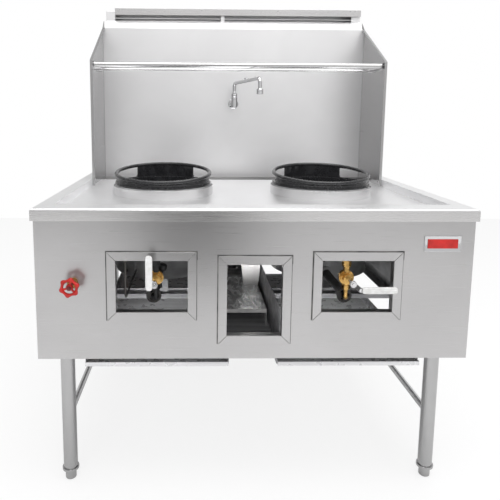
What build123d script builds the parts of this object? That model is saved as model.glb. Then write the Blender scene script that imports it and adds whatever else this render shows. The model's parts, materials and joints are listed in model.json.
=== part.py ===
from build123d import *
import math
import os

# Two-chamber wok range on tube legs. Millimetres, +Z up, front towards -Y.
# "depth" is the distance behind the face of the deck's front lip.
# The origin is on the floor, in the middle of the width and of the overall depth,
# which runs from the end of the water spindle to the end of the gas inlet.

# ---- cabinet and deck ----
body_width = 1219.0
body_depth = 1036.0
deck_height = 838.0
sheet = 2.0
lip_height = 34.0
lip_radius = 8.0
rim_front = 72.0
rim_side = 47.5
well_depth = 26.0
gutter_width = 107.0
gutter_depth = 60.0
gutter_lap = 20.0
gutter_fold = 20.0
riser_length = 80.0
riser_standoff = 10.0
bevel_reach = 35.0
panel_setback = 9.0
side_setback = 6.0
panel_drop = 429.0
panel_return = 30.0
side_return = 38.0

half = body_width / 2
riser_depth = body_depth - sheet - riser_standoff - riser_length
splash_depth = riser_depth - bevel_reach
gutter_front = splash_depth - gutter_width
panel_bottom = deck_height - panel_drop
well_floor = deck_height - well_depth
well_half = half - rim_side

# ---- windows ----
chamber_inset = 332.0
chamber_x = half - chamber_inset
window_shift = 7.0
window_rise = 210.0
window_w = 198.0
window_h = 147.0
bay_window_rise = 170.0
bay_window_w = 154.0
bay_window_h = 205.0
trim_width = 24.0
trim_proud = 4.0
trim_lining = 22.0
cutout_gap = 10.0
cutout_rise = 5.5
lining_wall = 1.5
mitre_groove = 0.9
mitre_depth = 0.8

window_x = chamber_x + window_shift
window_z = panel_bottom + window_rise
bay_window_z = panel_bottom + bay_window_rise
cutout_top = window_z + window_h / 2 + cutout_rise

# ---- name plate ----
plate_inset = 94.5
plate_drop = 97.5
plate_w = 102.0
plate_h = 44.0
plate_wall = 2.5
field_w = 84.0
field_h = 26.0
field_proud = 0.6

plate_x = half - plate_inset
plate_z = deck_height - plate_drop

# ---- chambers, collars and wok rings ----
chamber_depth = 447.0
chamber_radius = 168.0
chamber_wall = 4.0
chamber_rise = 141.0
chamber_floor_hole = 60.0
chamber_gap = 1.0
seat_height = 10.0
seat_lap = 18.0
seat_ledge = 2.5
collar_gap = 1.0
collar_wall = 2.5
collar_height = 31.0
ring_foot_inset = 2.0
ring_foot_ledge = 4.5
ring_wall = 5.0
ring_foot_height = 5.0
spigot_gap = 1.0
ring_spigot_wall = 6.0
ring_spigot_height = 9.0
rim_inset = 1.0
rim_tube = 6.5
rim_rise = 45.5
rim_tilt = 5.4
ring_bead = 3.0
ring_bead_rise = 19.5
ring_window_rise = 16.0
ring_window_start = 40.0
ring_window_end = 102.0
ring_window_corner = 6.0
duct_width = 160.0
duct_height = 70.0
duct_rise = 127.0
duct_wall = 2.5

chamber_bottom = panel_bottom + chamber_rise
seat_bore = chamber_radius - seat_lap
seat_radius = chamber_radius + seat_ledge
collar_radius = seat_radius + collar_gap + collar_wall
ring_foot_radius = seat_radius - ring_foot_inset
ring_wall_radius = ring_foot_radius - ring_foot_ledge
ring_spigot_radius = seat_bore - spigot_gap
rim_radius = ring_wall_radius - rim_inset
rim_centre_height = deck_height + rim_rise
ring_window_floor = deck_height + ring_window_rise
duct_centre_z = chamber_bottom + duct_rise

# ---- burners ----
mixer_shift_left = -6.5
mixer_shift_right = -10.5
mixer_rise = 22.0
mixer_radius = 13.0
mixer_bore = 10.0
bell_mouth = 70.0
bell_radius = 20.5
bell_length = 40.0
bell_rim = 6.0
bell_bore = 15.0
mixer_gap = 2.0
boss_radius = 23.0
boss_reach = 13.0
head_radius = 72.0
head_height = 40.0
head_wall = 6.0
port_radius = 3.0
port_circle = 52.0
port_count = 18
shutter_radius = 22.0
shutter_wall = 2.0
shutter_bore = 8.0
shutter_slot = 4.5
shutter_slot_circle = 14.0

mixer_x = {"left": mixer_shift_left - chamber_x, "right": mixer_shift_right + chamber_x}
mixer_z = chamber_bottom + mixer_rise
mixer_hole = mixer_radius + mixer_gap
boss_depth = chamber_depth - chamber_radius - boss_reach

# ---- gas train ----
valve_shift_left = 2.5
valve_shift_right = -14.5
valve_above_sight = 15.0
valve_depth = 44.0
valve_radius = 18.0
valve_front = 12.0
valve_back = 16.0
valve_collar_radius = 21.0
valve_collar = 8.0
valve_drop = 30.0
valve_rise = 50.0
valve_neck = 9.0
valve_nut = 11.5
valve_nut_height = 12.0
valve_bore = 6.0
ball_radius = 11.0
ball_gap = 0.1
stem_radius = 4.5
stem_gap = 0.1
bonnet_radius = 13.0
bonnet_length = 10.0
orifice_pipe = 6.0
spud_radius = 4.5
spud_end = 66.0
spud_length = 16.0
elbow_ball = 7.0
elbow_setback = 12.0
elbow_bend = 8.0
lever_depth = -16.0
lever_thick = 4.0
lever_width = 12.0
lever_crank = 14.0
lever_joggle = 14.0
lever_bar_start = 20.0
lever_reach = 80.0
nut_radius = 9.0
nut_length = 7.0
grip_width = 19.0
grip_thick = 9.0
grip_gap = 0.2
grip_length = 96.0
grip_start_right = 23.0
grip_start_left = -14.0
manifold_drop = 103.0
manifold_radius = 13.35
manifold_overhang = 94.5
manifold_side_inset = 35.5
manifold_tail = 8.0
manifold_bend = 30.0
manifold_bore = 10.4
manifold_bracket = 20.0
inlet_bore_depth = 40.0
drop_radius = 9.0
pilot_side = 84.0
pilot_radius = 3.2
pilot_cock = 9.0
pilot_cock_length = 34.0
pilot_stub = 20.0
pilot_key = 4.0
pilot_key_length = 16.0
pilot_bend = 18.0
pilot_hole = 6.0

valve_x = {"left": valve_shift_left - chamber_x, "right": valve_shift_right + chamber_x}
valve_z = window_z + valve_above_sight
manifold_z = deck_height - manifold_drop
manifold_start = -chamber_x - manifold_overhang
manifold_side_x = half - manifold_side_inset

# ---- water side ----
water_valve_inset = 108.5
water_valve_rise = 220.0
water_valve_depth = 84.0
water_pipe = 8.0
water_bore = 6.0
water_run_drop = 108.0
water_back_gap = 18.0
water_cross_rise = 24.0
water_supply_rise = 81.0
supply_bore_depth = 30.0
gate_body = 19.0
gate_half = 34.0
gate_neck = 14.0
bonnet_nose = 14.0
bonnet_nose_gap = 1.0
bonnet_front = 2.0
gate_radius = 8.5
gate_wall = 9.0
gate_clear = 0.3
gate_end = 4.0
gate_lift = 15.0
locknut = 6.0
water_bend = 24.0
spindle_thread = 2.5
spindle_radius = 4.0
spindle_front = -42.0
wheel_radius = 28.5
wheel_lobe = 7.0
wheel_ring_radius = 19.0
wheel_tube = 4.0
wheel_hub = 9.0
wheel_hub_length = 14.0
wheel_spoke = 3.0
wheel_spokes = 3
wheel_lobes = 6
wheel_start = 18.0
wheel_nut = 6.5
wheel_nut_length = 5.0

water_valve_x = water_valve_inset - half
water_valve_z = panel_bottom + water_valve_rise
water_run_z = deck_height - water_run_drop
water_back_depth = splash_depth + water_back_gap
water_cross_z = deck_height + water_cross_rise
water_supply_z = panel_bottom + water_supply_rise

# ---- backsplash, wings, flue ----
splash_height = 612.0
splash_lap = 40.0
bevel_rise = 34.0
wing_reach = 289.0
wing_drop = 162.0
wing_hem = 8.0
wing_screw_drop = 12.0
wing_screw_inset = 44.0
wing_screw_radius = 5.0
wing_screw_head = 2.5
riser_inset = 9.0
riser_foot = 77.0
riser_rise = 40.0
slot_sill = 1.0
slot_height = 24.0
slot_inset = 39.0
slot_post_x = -48.0
slot_post_width = 16.0
louver_rise = 10.0
louver_depth = 18.0
louver_thick = 3.0
cap_front = 8.0
cap_height = 12.0
cap_lip_drop = 15.0
bracket_width = 40.0
bracket_height = 20.0
rack_front_drop = 15.0
rack_front_inset = 28.0
rack_front_radius = 11.0
rack_front_cup = 14.0
rack_cup_length = 13.0
rack_rear_drop = 21.0
rack_rear_inset = 170.0
rack_rear_radius = 5.5
rack_rear_cup = 9.0

splash_half = well_half - sheet
splash_top = deck_height + splash_height
splash_foot = well_floor - splash_lap
bevel_top = splash_top + bevel_rise
riser_half = splash_half - riser_inset
riser_bottom = duct_centre_z - riser_foot
riser_top = bevel_top + riser_rise
slot_bottom = bevel_top + slot_sill
slot_top = slot_bottom + slot_height
slot_half = riser_half - slot_inset
louver_z = slot_bottom + louver_rise
wing_front = splash_depth - wing_reach
wing_corner = splash_top - wing_drop
wing_screw_z = deck_height - wing_screw_drop
wing_screw_depth = wing_front + wing_screw_inset

# ---- faucet ----
faucet_rise = 293.0
faucet_flange_radius = 21.5
faucet_flange = 5.0
faucet_shank = 11.0
faucet_reach = 57.0
faucet_body_radius = 13.5
faucet_body_below = 15.0
faucet_body_above = 31.0
faucet_chamfer = 2.0
spout_tube = 7.5
spout_pin = 6.0
spout_pin_length = 18.0
spout_pin_gap = 0.1
spout_nut_radius = 12.0
spout_nut = 12.0
spout_rise = 55.0
spout_reach = 292.0
spout_heading = 14.5
spout_climb = 5.5
spout_elbow_radius = 14.0
spout_tip_radius = 22.0
spout_drop = 42.0
aerator_radius = 12.0
aerator_length = 18.0
aerator_bore = 7.0
spout_nub = 4.0
spout_nub_share = 0.45

faucet_z = deck_height + faucet_rise
faucet_depth = splash_depth - faucet_reach
faucet_body_bottom = faucet_z - faucet_body_below
faucet_body_top = faucet_z + faucet_body_above
spout_elbow_z = faucet_body_top + spout_rise
spout_tip_z = spout_elbow_z + spout_climb
spout_end_z = spout_tip_z - spout_drop

# ---- legs, feet, rails ----
leg_inset = 71.5
leg_front_depth = 76.0
leg_rear_inset = 86.0
leg_radius = 20.65
leg_wall = 1.5
leg_rise = 37.0
leg_plug_bottom = 30.0
leg_plug_height = 22.0
leg_flange_radius = 24.5
leg_flange = 7.0
foot_radius = 16.0
foot_round = 4.0
foot_stem = 7.0
foot_stem_length = 48.0
foot_stem_gap = 0.1
socket_wall = 3.0
socket_gap = 0.1
socket_depth = 26.0
socket_plate = 3.0
socket_reach = 34.0
rail_z = 200.0
rail_radius = 9.5
rail_wall = 1.5
rail_gap = 0.2

leg_x = half - leg_inset
leg_rear_depth = body_depth - leg_rear_inset
leg_top = panel_bottom + leg_rise

# ---- drip trays and their frame ----
tray_inner_x = 70.0
tray_outer_inset = 135.5
tray_front = 14.0
tray_rear_gap = 195.0
tray_drop = 13.0
tray_height = 12.0
tray_wall = 1.5
runner_gap = 0.5
runner_wall = 1.5
runner_lip = 12.0
runner_flange = 8.0
runner_front = 30.0
runner_rear_gap = 26.0

tray_outer_x = half - tray_outer_inset
tray_top = panel_bottom - tray_drop
runner_rear = body_depth - runner_rear_gap
tray_rear = runner_rear - tray_rear_gap

# ---- underframe, centre bay, centre shelf ----
cross_front_reach = 267.0
cross_rear_reach = 27.0
cross_width = 65.0
cross_height = 18.0
cross_wall = 2.0
stay_width = 24.0
stay_wall = 3.0
stay_fold = 16.0
stay_gap = 6.0
bay_lap = 1.0
bay_gap = 1.0
bay_wall = 2.0
bay_drop = 5.0
bay_rear_gap = 4.0
shelf_inset = 10.0
shelf_rise = 59.0
shelf_front = 226.0
shelf_rear = 570.0
shelf_bar = 12.0
chute_x = 38.0
chute_depth = 452.0
chute_foot = 52.0
chute_head = 90.0
chute_rise = 172.0
chute_fold = 26.0

cross_front_depth = chamber_depth - cross_front_reach
cross_rear_depth = chamber_depth + cross_rear_reach
bay_half = bay_window_w / 2 - bay_lap
bay_top = chamber_bottom - bay_drop
bay_front = panel_setback + trim_lining + bay_gap
bay_rear = body_depth - sheet - bay_rear_gap
shelf_half = bay_half - shelf_inset
shelf_top = panel_bottom + shelf_rise
chute_shoulder = shelf_top + chute_rise

# ---- gutter drain ----
drain_x = 0.0
drain_radius = 21.0
drain_wall = 2.0
drain_gap = 2.0
drain_below = 69.0
drain_sleeve_radius = 22.5
drain_sleeve_length = 65.0
strainer_radius = 18.0
strainer_flange = 26.0
strainer_height = 24.0
strainer_wall = 1.5
strainer_hole = 2.5

os.makedirs("parts", exist_ok=True)

deck_under = deck_height - sheet
lip_bottom = deck_height - lip_height
panel_half = half - side_setback
panel_inner = panel_half - sheet
rear_face = body_depth
front_inner = panel_setback + sheet
seat_bottom = deck_under
panel_top = deck_under - lip_radius
seat_top = seat_bottom + seat_height
drain_bottom = panel_bottom - drain_below
sides = {"left": -1, "right": 1}

origin_depth = (spindle_front + rear_face + manifold_tail) / 2


def at(depth):
    return depth - origin_depth


def block(x0, x1, d0, d1, z0, z1):
    box = Box(abs(x1 - x0), d1 - d0, z1 - z0)
    return Pos((x0 + x1) / 2, at((d0 + d1) / 2), (z0 + z1) / 2) * box


def post(x, d, z0, z1, radius):
    return Pos(x, at(d), (z0 + z1) / 2) * Cylinder(radius, z1 - z0)


def bar_y(x, z, d0, d1, radius):
    return Pos(x, at((d0 + d1) / 2), z) * Rot(90, 0, 0) * Cylinder(radius, d1 - d0)


def bar_x(x0, x1, d, z, radius):
    return Pos((x0 + x1) / 2, at(d), z) * Rot(0, 90, 0) * Cylinder(radius, abs(x1 - x0))


def cone_y(x, z, d0, d1, r0, r1):
    cone = Cone(r1, r0, d1 - d0)
    return Pos(x, at((d0 + d1) / 2), z) * Rot(90, 0, 0) * cone


def pipe(points, radii, radius):
    route = FilletPolyline(*points, radius=radii)
    start = Plane(route @ 0, z_dir=route % 0)
    return sweep(start * Circle(radius), path=route)


def profile_x(points, x0, x1):
    face = make_face(Polyline(*[(at(d), z) for d, z in points], close=True))
    return Plane.YZ.offset(min(x0, x1)) * extrude(face, abs(x1 - x0))


def save(name, shape):
    solids = shape.solids()
    part = solids[0] if len(solids) == 1 else Compound(children=solids)
    export_step(part, "parts/" + name + ".step")


# ---- deck pan ----
outer = block(-half, half, 0, rear_face, lip_bottom, deck_height)
outer = fillet(outer.faces().sort_by(Axis.Z)[-1].edges().sort_by(Axis.Y)[:-1], lip_radius)
inner = block(-half + sheet, half - sheet, sheet, rear_face + sheet, lip_bottom - sheet, deck_under)
inner = fillet(
    inner.faces().sort_by(Axis.Z)[-1].edges().sort_by(Axis.Y)[:-1], lip_radius - sheet
)
deck = outer - inner
hem = block(-half + sheet, half - sheet, sheet, rear_face, lip_bottom, lip_bottom + sheet)
hem -= block(-panel_half, panel_half, panel_setback, rear_face + sheet, 0, deck_height)
deck += hem
deck -= block(-well_half, well_half, rim_front, splash_depth + sheet, well_floor, deck_height + sheet)
tub = block(
    -well_half - sheet, well_half + sheet, rim_front - sheet, splash_depth + sheet,
    well_floor - sheet, deck_under,
)
tub -= block(-well_half, well_half, rim_front, rear_face, well_floor, deck_height)
tub -= block(-well_half, well_half, gutter_front + 2 * sheet, rear_face, 0, deck_height)
deck += tub
deck += block(
    -well_half + sheet, well_half - sheet, gutter_front + sheet, gutter_front + 2 * sheet,
    well_floor - gutter_fold, well_floor,
)
riser_back = riser_depth + riser_length
deck -= block(
    -riser_half - chamber_gap, riser_half + chamber_gap, riser_depth - chamber_gap,
    riser_back + chamber_gap, lip_bottom, deck_height + sheet,
)
for sign in (-1, 1):
    deck -= post(
        sign * chamber_x, chamber_depth, 0, deck_height, chamber_radius + chamber_gap
    )
deck -= post(
    water_valve_x, water_back_depth, 0, deck_height + sheet, water_pipe + chamber_gap
)
save("deck_pan", deck)

# ---- gutter with its drain tail, and the strainer that lifts out ----
gutter_back = splash_depth
gutter_floor = well_floor - gutter_depth
gutter = block(-well_half, well_half, gutter_front, gutter_back, gutter_floor, well_floor)
gutter -= block(
    -well_half + sheet, well_half - sheet, gutter_front + sheet, gutter_back - sheet,
    gutter_floor + sheet, well_floor + sheet,
)
gutter -= block(
    -well_half - sheet, well_half + sheet, gutter_front - sheet, gutter_back - sheet,
    well_floor - sheet, well_floor + sheet,
)
gutter += block(
    -well_half, well_half, gutter_front - gutter_lap, gutter_front + sheet,
    well_floor - 2 * sheet, well_floor - sheet,
)
gutter_mid = (gutter_front + gutter_back) / 2
gutter += post(drain_x, gutter_mid, drain_bottom, gutter_floor + sheet, drain_radius)
gutter += post(
    drain_x, gutter_mid, drain_bottom, drain_bottom + drain_sleeve_length, drain_sleeve_radius
)
gutter -= post(
    drain_x, gutter_mid, drain_bottom - sheet, gutter_floor + 2 * sheet,
    drain_radius - drain_wall,
)
save("gutter", gutter)

strainer_top = gutter_floor + sheet + strainer_wall
strainer = post(
    drain_x, gutter_mid, strainer_top - strainer_wall, strainer_top, strainer_flange
)
strainer += post(
    drain_x, gutter_mid, strainer_top - strainer_height, strainer_top, strainer_radius
)
strainer -= post(
    drain_x, gutter_mid, strainer_top - strainer_height + strainer_wall,
    strainer_top + sheet, strainer_radius - strainer_wall,
)
strainer -= (
    Pos(drain_x, at(gutter_mid), strainer_top - strainer_height)
    * PolarLocations(strainer_radius / 2, 6)
    * Cylinder(strainer_hole, 4 * strainer_wall)
)
save("gutter_strainer", strainer)


# ---- panels, with folded returns at the bottom ----
def window_hole(x, z, w, h):
    return block(
        x - w / 2 - cutout_gap, x + w / 2 + cutout_gap, 0, front_inner + sheet,
        z - h / 2 - cutout_gap, cutout_top,
    )


windows = {
    "window_frame_left": (-window_x, window_z, window_w, window_h),
    "window_frame_centre": (0.0, bay_window_z, bay_window_w, bay_window_h),
    "window_frame_right": (window_x, window_z, window_w, window_h),
}
front = block(-panel_half, panel_half, panel_setback, front_inner, panel_bottom, panel_top)
front += block(
    -panel_inner, panel_inner, panel_setback, front_inner + panel_return,
    panel_bottom, panel_bottom + sheet,
)
for x, z, w, h in windows.values():
    front -= window_hole(x, z, w, h)
front -= bar_y(
    water_valve_x, water_valve_z, 0, front_inner + sheet, bonnet_nose + bonnet_nose_gap
)
save("front_panel", front)

rear = block(
    -panel_inner, panel_inner, rear_face - sheet, rear_face, panel_bottom, deck_under
)
rear += block(
    -panel_inner, panel_inner, rear_face - sheet - panel_return, rear_face,
    panel_bottom, panel_bottom + sheet,
)
for x, z, radius in (
    (manifold_side_x, manifold_z, manifold_radius),
    (water_valve_x, water_supply_z, water_pipe),
):
    rear -= bar_y(x, z, rear_face - 2 * sheet, rear_face + sheet, radius + chamber_gap)
save("rear_panel", rear)

corners = {"front": leg_front_depth, "rear": leg_rear_depth}
socket_bore = leg_radius + socket_gap
for side, sign in sides.items():
    wall = block(
        sign * panel_inner, sign * panel_half, front_inner, rear_face,
        panel_bottom, panel_top,
    )
    wall += block(
        sign * (panel_half - side_return), sign * panel_half,
        front_inner + panel_return, rear_face - sheet - panel_return,
        panel_bottom, panel_bottom + sheet,
    )
    for d in corners.values():
        wall += block(
            sign * (leg_x - socket_reach), sign * panel_half, d - socket_reach,
            d + socket_reach, leg_top, leg_top + socket_plate,
        )
        wall += post(
            sign * leg_x, d, leg_top - socket_depth, leg_top, socket_bore + socket_wall
        )
        wall -= post(
            sign * leg_x, d, leg_top - socket_depth - sheet, leg_top, socket_bore
        )
    save("side_panel_" + side, wall)

# ---- window frames: mitred trim, proud of the panel, with a lining through it ----
for name, (x, z, w, h) in windows.items():
    d0 = panel_setback - trim_proud
    frame = block(
        x - w / 2 - trim_width, x + w / 2 + trim_width, d0, panel_setback,
        z - h / 2 - trim_width, z + h / 2 + trim_width,
    )
    frame += block(
        x - w / 2 - lining_wall, x + w / 2 + lining_wall, d0, panel_setback + trim_lining,
        z - h / 2 - lining_wall, z + h / 2 + lining_wall,
    )
    frame -= block(
        x - w / 2, x + w / 2, d0 - sheet, panel_setback + trim_lining + sheet,
        z - h / 2, z + h / 2,
    )
    for sx in (-1, 1):
        for sz in (-1, 1):
            groove = Box(trim_width * 1.7, 2 * mitre_depth, mitre_groove)
            middle = trim_width / 2
            frame -= (
                Pos(x + sx * (w / 2 + middle), at(d0), z + sz * (h / 2 + middle))
                * Rot(0, -45 * sx * sz, 0)
                * groove
            )
    save(name, frame)

# ---- name plate: a bezel and a plain field ----
bezel = block(
    plate_x - plate_w / 2, plate_x + plate_w / 2, panel_setback - plate_wall,
    panel_setback, plate_z - plate_h / 2, plate_z + plate_h / 2,
)
bezel = fillet(bezel.edges().filter_by(Axis.Y), plate_wall)
save("name_plate", bezel)
field = block(
    plate_x - field_w / 2, plate_x + field_w / 2,
    panel_setback - plate_wall - field_proud, panel_setback - plate_wall,
    plate_z - field_h / 2, plate_z + field_h / 2,
)
save("name_plate_field", field)


# ---- one fire place per side ----
def is_radial(edge):
    first, last = edge @ 0, edge @ 1
    return abs(first.X * last.Y - first.Y * last.X) < 1


def ring_window(turn, span):
    near = ring_wall_radius - 4 * ring_wall
    far = 2 * rim_radius
    outline = []
    for radius, share in ((near, 0), (far, 0), (far, 0.5), (far, 1), (near, 1)):
        angle = math.radians(turn + share * span)
        outline.append((radius * math.cos(angle), radius * math.sin(angle)))
    cut = extrude(make_face(Polyline(*outline, close=True)), rim_radius)
    corners_low = cut.faces().sort_by(Axis.Z)[0].edges().filter_by(is_radial)
    return fillet(corners_low, ring_window_corner)


for side, sign in sides.items():
    cx = sign * chamber_x
    mx = mixer_x[side]
    inner_radius = chamber_radius - chamber_wall

    collar = post(cx, chamber_depth, well_floor, well_floor + collar_height, collar_radius)
    collar -= post(
        cx, chamber_depth, well_floor - sheet, deck_height + collar_height,
        collar_radius - collar_wall,
    )
    save("collar_" + side, collar)

    shell = post(cx, chamber_depth, chamber_bottom, seat_bottom, chamber_radius)
    duct_back = riser_depth
    duct_x = duct_width / 2 + duct_wall
    duct_z = duct_height / 2 + duct_wall
    shell += block(
        cx - duct_x, cx + duct_x, chamber_depth, duct_back,
        duct_centre_z - duct_z, duct_centre_z + duct_z,
    )
    shell -= post(
        cx, chamber_depth, chamber_bottom + chamber_wall, seat_bottom, inner_radius
    )
    shell -= post(
        cx, chamber_depth, 0, chamber_bottom + chamber_wall, chamber_floor_hole
    )
    shell -= block(
        cx - duct_width / 2, cx + duct_width / 2, chamber_depth, duct_back + sheet,
        duct_centre_z - duct_height / 2, duct_centre_z + duct_height / 2,
    )
    shell += post(cx, chamber_depth, seat_bottom, seat_top, seat_radius)
    shell -= post(cx, chamber_depth, seat_bottom - sheet, seat_top + sheet, seat_bore)
    boss = bar_y(mx, mixer_z, boss_depth, chamber_depth, boss_radius)
    boss -= post(cx, chamber_depth, 0, seat_top, inner_radius)
    shell += boss
    shell -= bar_y(mx, mixer_z, boss_depth - sheet, chamber_depth, mixer_hole)
    pilot_x = cx - pilot_side
    shell -= bar_y(pilot_x, mixer_z, boss_depth - sheet, chamber_depth, pilot_hole)
    save("chamber_" + side, shell)

    # wok ring: cast wall with two windows, under a rim that leans to the front
    ring = post(cx, chamber_depth, seat_top, seat_top + ring_foot_height, ring_foot_radius)
    ring += post(
        cx, chamber_depth, seat_top - ring_spigot_height, seat_top, ring_spigot_radius
    )
    ring += post(cx, chamber_depth, seat_top, rim_centre_height + rim_radius, ring_wall_radius)
    ring -= post(
        cx, chamber_depth, seat_top + ring_foot_height, deck_height * 2,
        ring_wall_radius - ring_wall,
    )
    ring -= post(
        cx, chamber_depth, 0, deck_height * 2, ring_spigot_radius - ring_spigot_wall
    )
    lean = Pos(cx, at(chamber_depth), rim_centre_height) * Rot(rim_tilt, 0, 0)
    ring -= lean * Pos(0, 0, rim_radius) * Box(4 * rim_radius, 4 * rim_radius, 2 * rim_radius)
    bead_z = deck_height + ring_bead_rise
    ring += Pos(cx, at(chamber_depth), bead_z) * Torus(ring_wall_radius, ring_bead)
    span = ring_window_end - ring_window_start
    for turn in (90 + ring_window_start, 90 - ring_window_end):
        ring -= Pos(cx, at(chamber_depth), ring_window_floor) * ring_window(turn, span)
    ring += lean * Torus(rim_radius, rim_tube)
    save("wok_ring_" + side, ring)

    # burner: mixer tube with a bell, and a drum head with ports
    floor_z = chamber_bottom + chamber_wall
    head = post(cx, chamber_depth, floor_z, floor_z + head_height, head_radius)
    head = chamfer(head.faces().sort_by(Axis.Z)[-1].edges(), head_wall)
    head += bar_y(mx, mixer_z, bell_mouth, chamber_depth, mixer_radius)
    head += cone_y(
        mx, mixer_z, bell_mouth + bell_rim, bell_mouth + bell_length, bell_radius, mixer_radius
    )
    head += bar_y(mx, mixer_z, bell_mouth, bell_mouth + bell_rim, bell_radius)
    head -= cone_y(
        mx, mixer_z, bell_mouth, bell_mouth + bell_length, bell_bore, mixer_bore
    )
    head -= bar_y(mx, mixer_z, bell_mouth, chamber_depth, mixer_bore)
    head -= post(
        cx, chamber_depth, floor_z + head_wall, floor_z + head_height - head_wall,
        head_radius - head_wall - head_wall,
    )
    head -= (
        Pos(cx, at(chamber_depth), floor_z + head_height)
        * PolarLocations(port_circle, port_count)
        * Cylinder(port_radius, 3 * head_wall)
    )
    save("burner_" + side, head)

    shutter = bar_y(mx, mixer_z, bell_mouth - shutter_wall, bell_mouth, shutter_radius)
    shutter -= bar_y(mx, mixer_z, 0, bell_mouth + sheet, shutter_bore)
    shutter -= (
        Pos(mx, at(bell_mouth), mixer_z)
        * Rot(90, 0, 0)
        * PolarLocations(shutter_slot_circle, 3)
        * Cylinder(shutter_slot, 4 * shutter_wall)
    )
    save("air_shutter_" + side, shutter)

    # gas valve: ball body with vertical necks, and the orifice elbow below it
    vx = valve_x[side]
    valve_face = valve_depth - valve_front
    valve = bar_y(vx, valve_z, valve_face, valve_depth + valve_back, valve_radius)
    valve += bar_y(
        vx, valve_z, valve_depth - valve_collar / 2, valve_depth + valve_collar / 2,
        valve_collar_radius,
    )
    valve += bar_y(vx, valve_z, valve_face - bonnet_length, valve_face, bonnet_radius)
    valve_low = valve_z - valve_drop
    valve_high = valve_z + valve_rise
    valve += post(vx, valve_depth, valve_low, valve_high, valve_neck)
    valve += post(vx, valve_depth, valve_high - valve_nut_height, valve_high, valve_nut)
    elbow = pipe(
        [
            (vx, at(valve_depth), valve_low),
            (vx, at(valve_depth), mixer_z),
            (mx, at(spud_end - elbow_setback), mixer_z),
        ],
        elbow_bend, orifice_pipe,
    )
    valve += elbow
    valve += bar_y(mx, mixer_z, spud_end - spud_length, spud_end, spud_radius)
    valve += Pos(mx, at(spud_end - elbow_setback), mixer_z) * Sphere(elbow_ball)
    valve -= post(
        vx, valve_depth, valve_low + sheet, valve_high + sheet, valve_bore
    )
    valve -= Pos(vx, at(valve_depth), valve_z) * Sphere(ball_radius + ball_gap)
    valve -= bar_y(vx, valve_z, 0, valve_depth, stem_radius + stem_gap)
    save("gas_valve_" + side, valve)

    # lever with its stem and ball: drawn pointing up, cranked to one side
    crank = -lever_crank if side == "left" else lever_crank
    bar_depth = lever_depth - lever_joggle
    stem_end = lever_depth - nut_length
    lever = bar_y(vx, valve_z, stem_end, valve_depth, stem_radius)
    ball = Pos(vx, at(valve_depth), valve_z) * Sphere(ball_radius)
    ball -= post(
        vx, valve_depth, valve_z - 2 * ball_radius, valve_z + 2 * ball_radius, valve_bore
    )
    lever += ball
    lever += bar_y(vx, valve_z, stem_end, lever_depth, nut_radius)
    lever += block(
        vx - lever_width / 2, vx + lever_width / 2, lever_depth, lever_depth + lever_thick,
        valve_z - lever_width / 2, valve_z + lever_width / 2,
    )
    slope = make_face(
        Polyline(
            (-lever_width / 2, 0), (lever_width / 2, 0),
            (crank + lever_width / 2, lever_bar_start),
            (crank - lever_width / 2, lever_bar_start), close=True,
        )
    )
    web = extrude(slope, lever_joggle + lever_thick)
    web = Pos(vx, at(lever_depth + lever_thick), valve_z) * Rot(90, 0, 0) * web
    band = profile_x(
        [
            (lever_depth + lever_thick, valve_z),
            (lever_depth, valve_z),
            (bar_depth, valve_z + lever_bar_start),
            (bar_depth + lever_thick, valve_z + lever_bar_start),
        ],
        vx - 3 * lever_width, vx + 3 * lever_width,
    )
    lever += web & band
    lever += block(
        vx + crank - lever_width / 2, vx + crank + lever_width / 2, bar_depth,
        bar_depth + lever_thick, valve_z + lever_bar_start, valve_z + lever_reach,
    )
    start = grip_start_left if side == "left" else grip_start_right
    grip = block(
        vx + crank - grip_width / 2, vx + crank + grip_width / 2,
        bar_depth + lever_thick / 2 - grip_thick / 2,
        bar_depth + lever_thick / 2 + grip_thick / 2,
        valve_z + start, valve_z + start + grip_length,
    )
    grip = fillet(grip.edges().filter_by(Axis.Z), grip_thick / 2.2)
    grip = fillet(grip.faces().sort_by(Axis.Z)[-1].edges(), grip_thick / 4)
    grip -= block(
        vx + crank - lever_width / 2 - grip_gap, vx + crank + lever_width / 2 + grip_gap,
        bar_depth - grip_gap, bar_depth + lever_thick + grip_gap,
        valve_z, valve_z + lever_reach,
    )
    if side == "left":
        grip -= block(
            vx + crank - lever_width / 2 - grip_gap, vx + lever_width / 2 + grip_gap,
            bar_depth - grip_gap, bar_depth + lever_thick + grip_thick,
            valve_z, valve_z + lever_bar_start + grip_gap,
        )
    if side == "right":
        turn = (
            Pos(vx, 0, valve_z) * Rot(0, 90, 0) * Pos(-vx, 0, -valve_z)
        )
        lever = turn * lever
        grip = turn * grip
    save("lever_" + side, lever)
    save("lever_grip_" + side, grip)

    # pilot line: a cock under the manifold, then a thin tube down and back
    cock_high = manifold_z - pilot_stub
    cock_low = cock_high - pilot_cock_length
    line = pipe(
        [
            (pilot_x, at(valve_depth), cock_low),
            (pilot_x, at(valve_depth), mixer_z),
            (pilot_x, at(chamber_depth - head_radius), mixer_z),
        ],
        pilot_bend, pilot_radius,
    )
    line += post(pilot_x, valve_depth, cock_low, cock_high, pilot_cock)
    key_z = (cock_low + cock_high) / 2
    line += bar_y(pilot_x, key_z, valve_depth, valve_depth + pilot_key_length, pilot_key)
    save("pilot_line_" + side, line)

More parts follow.
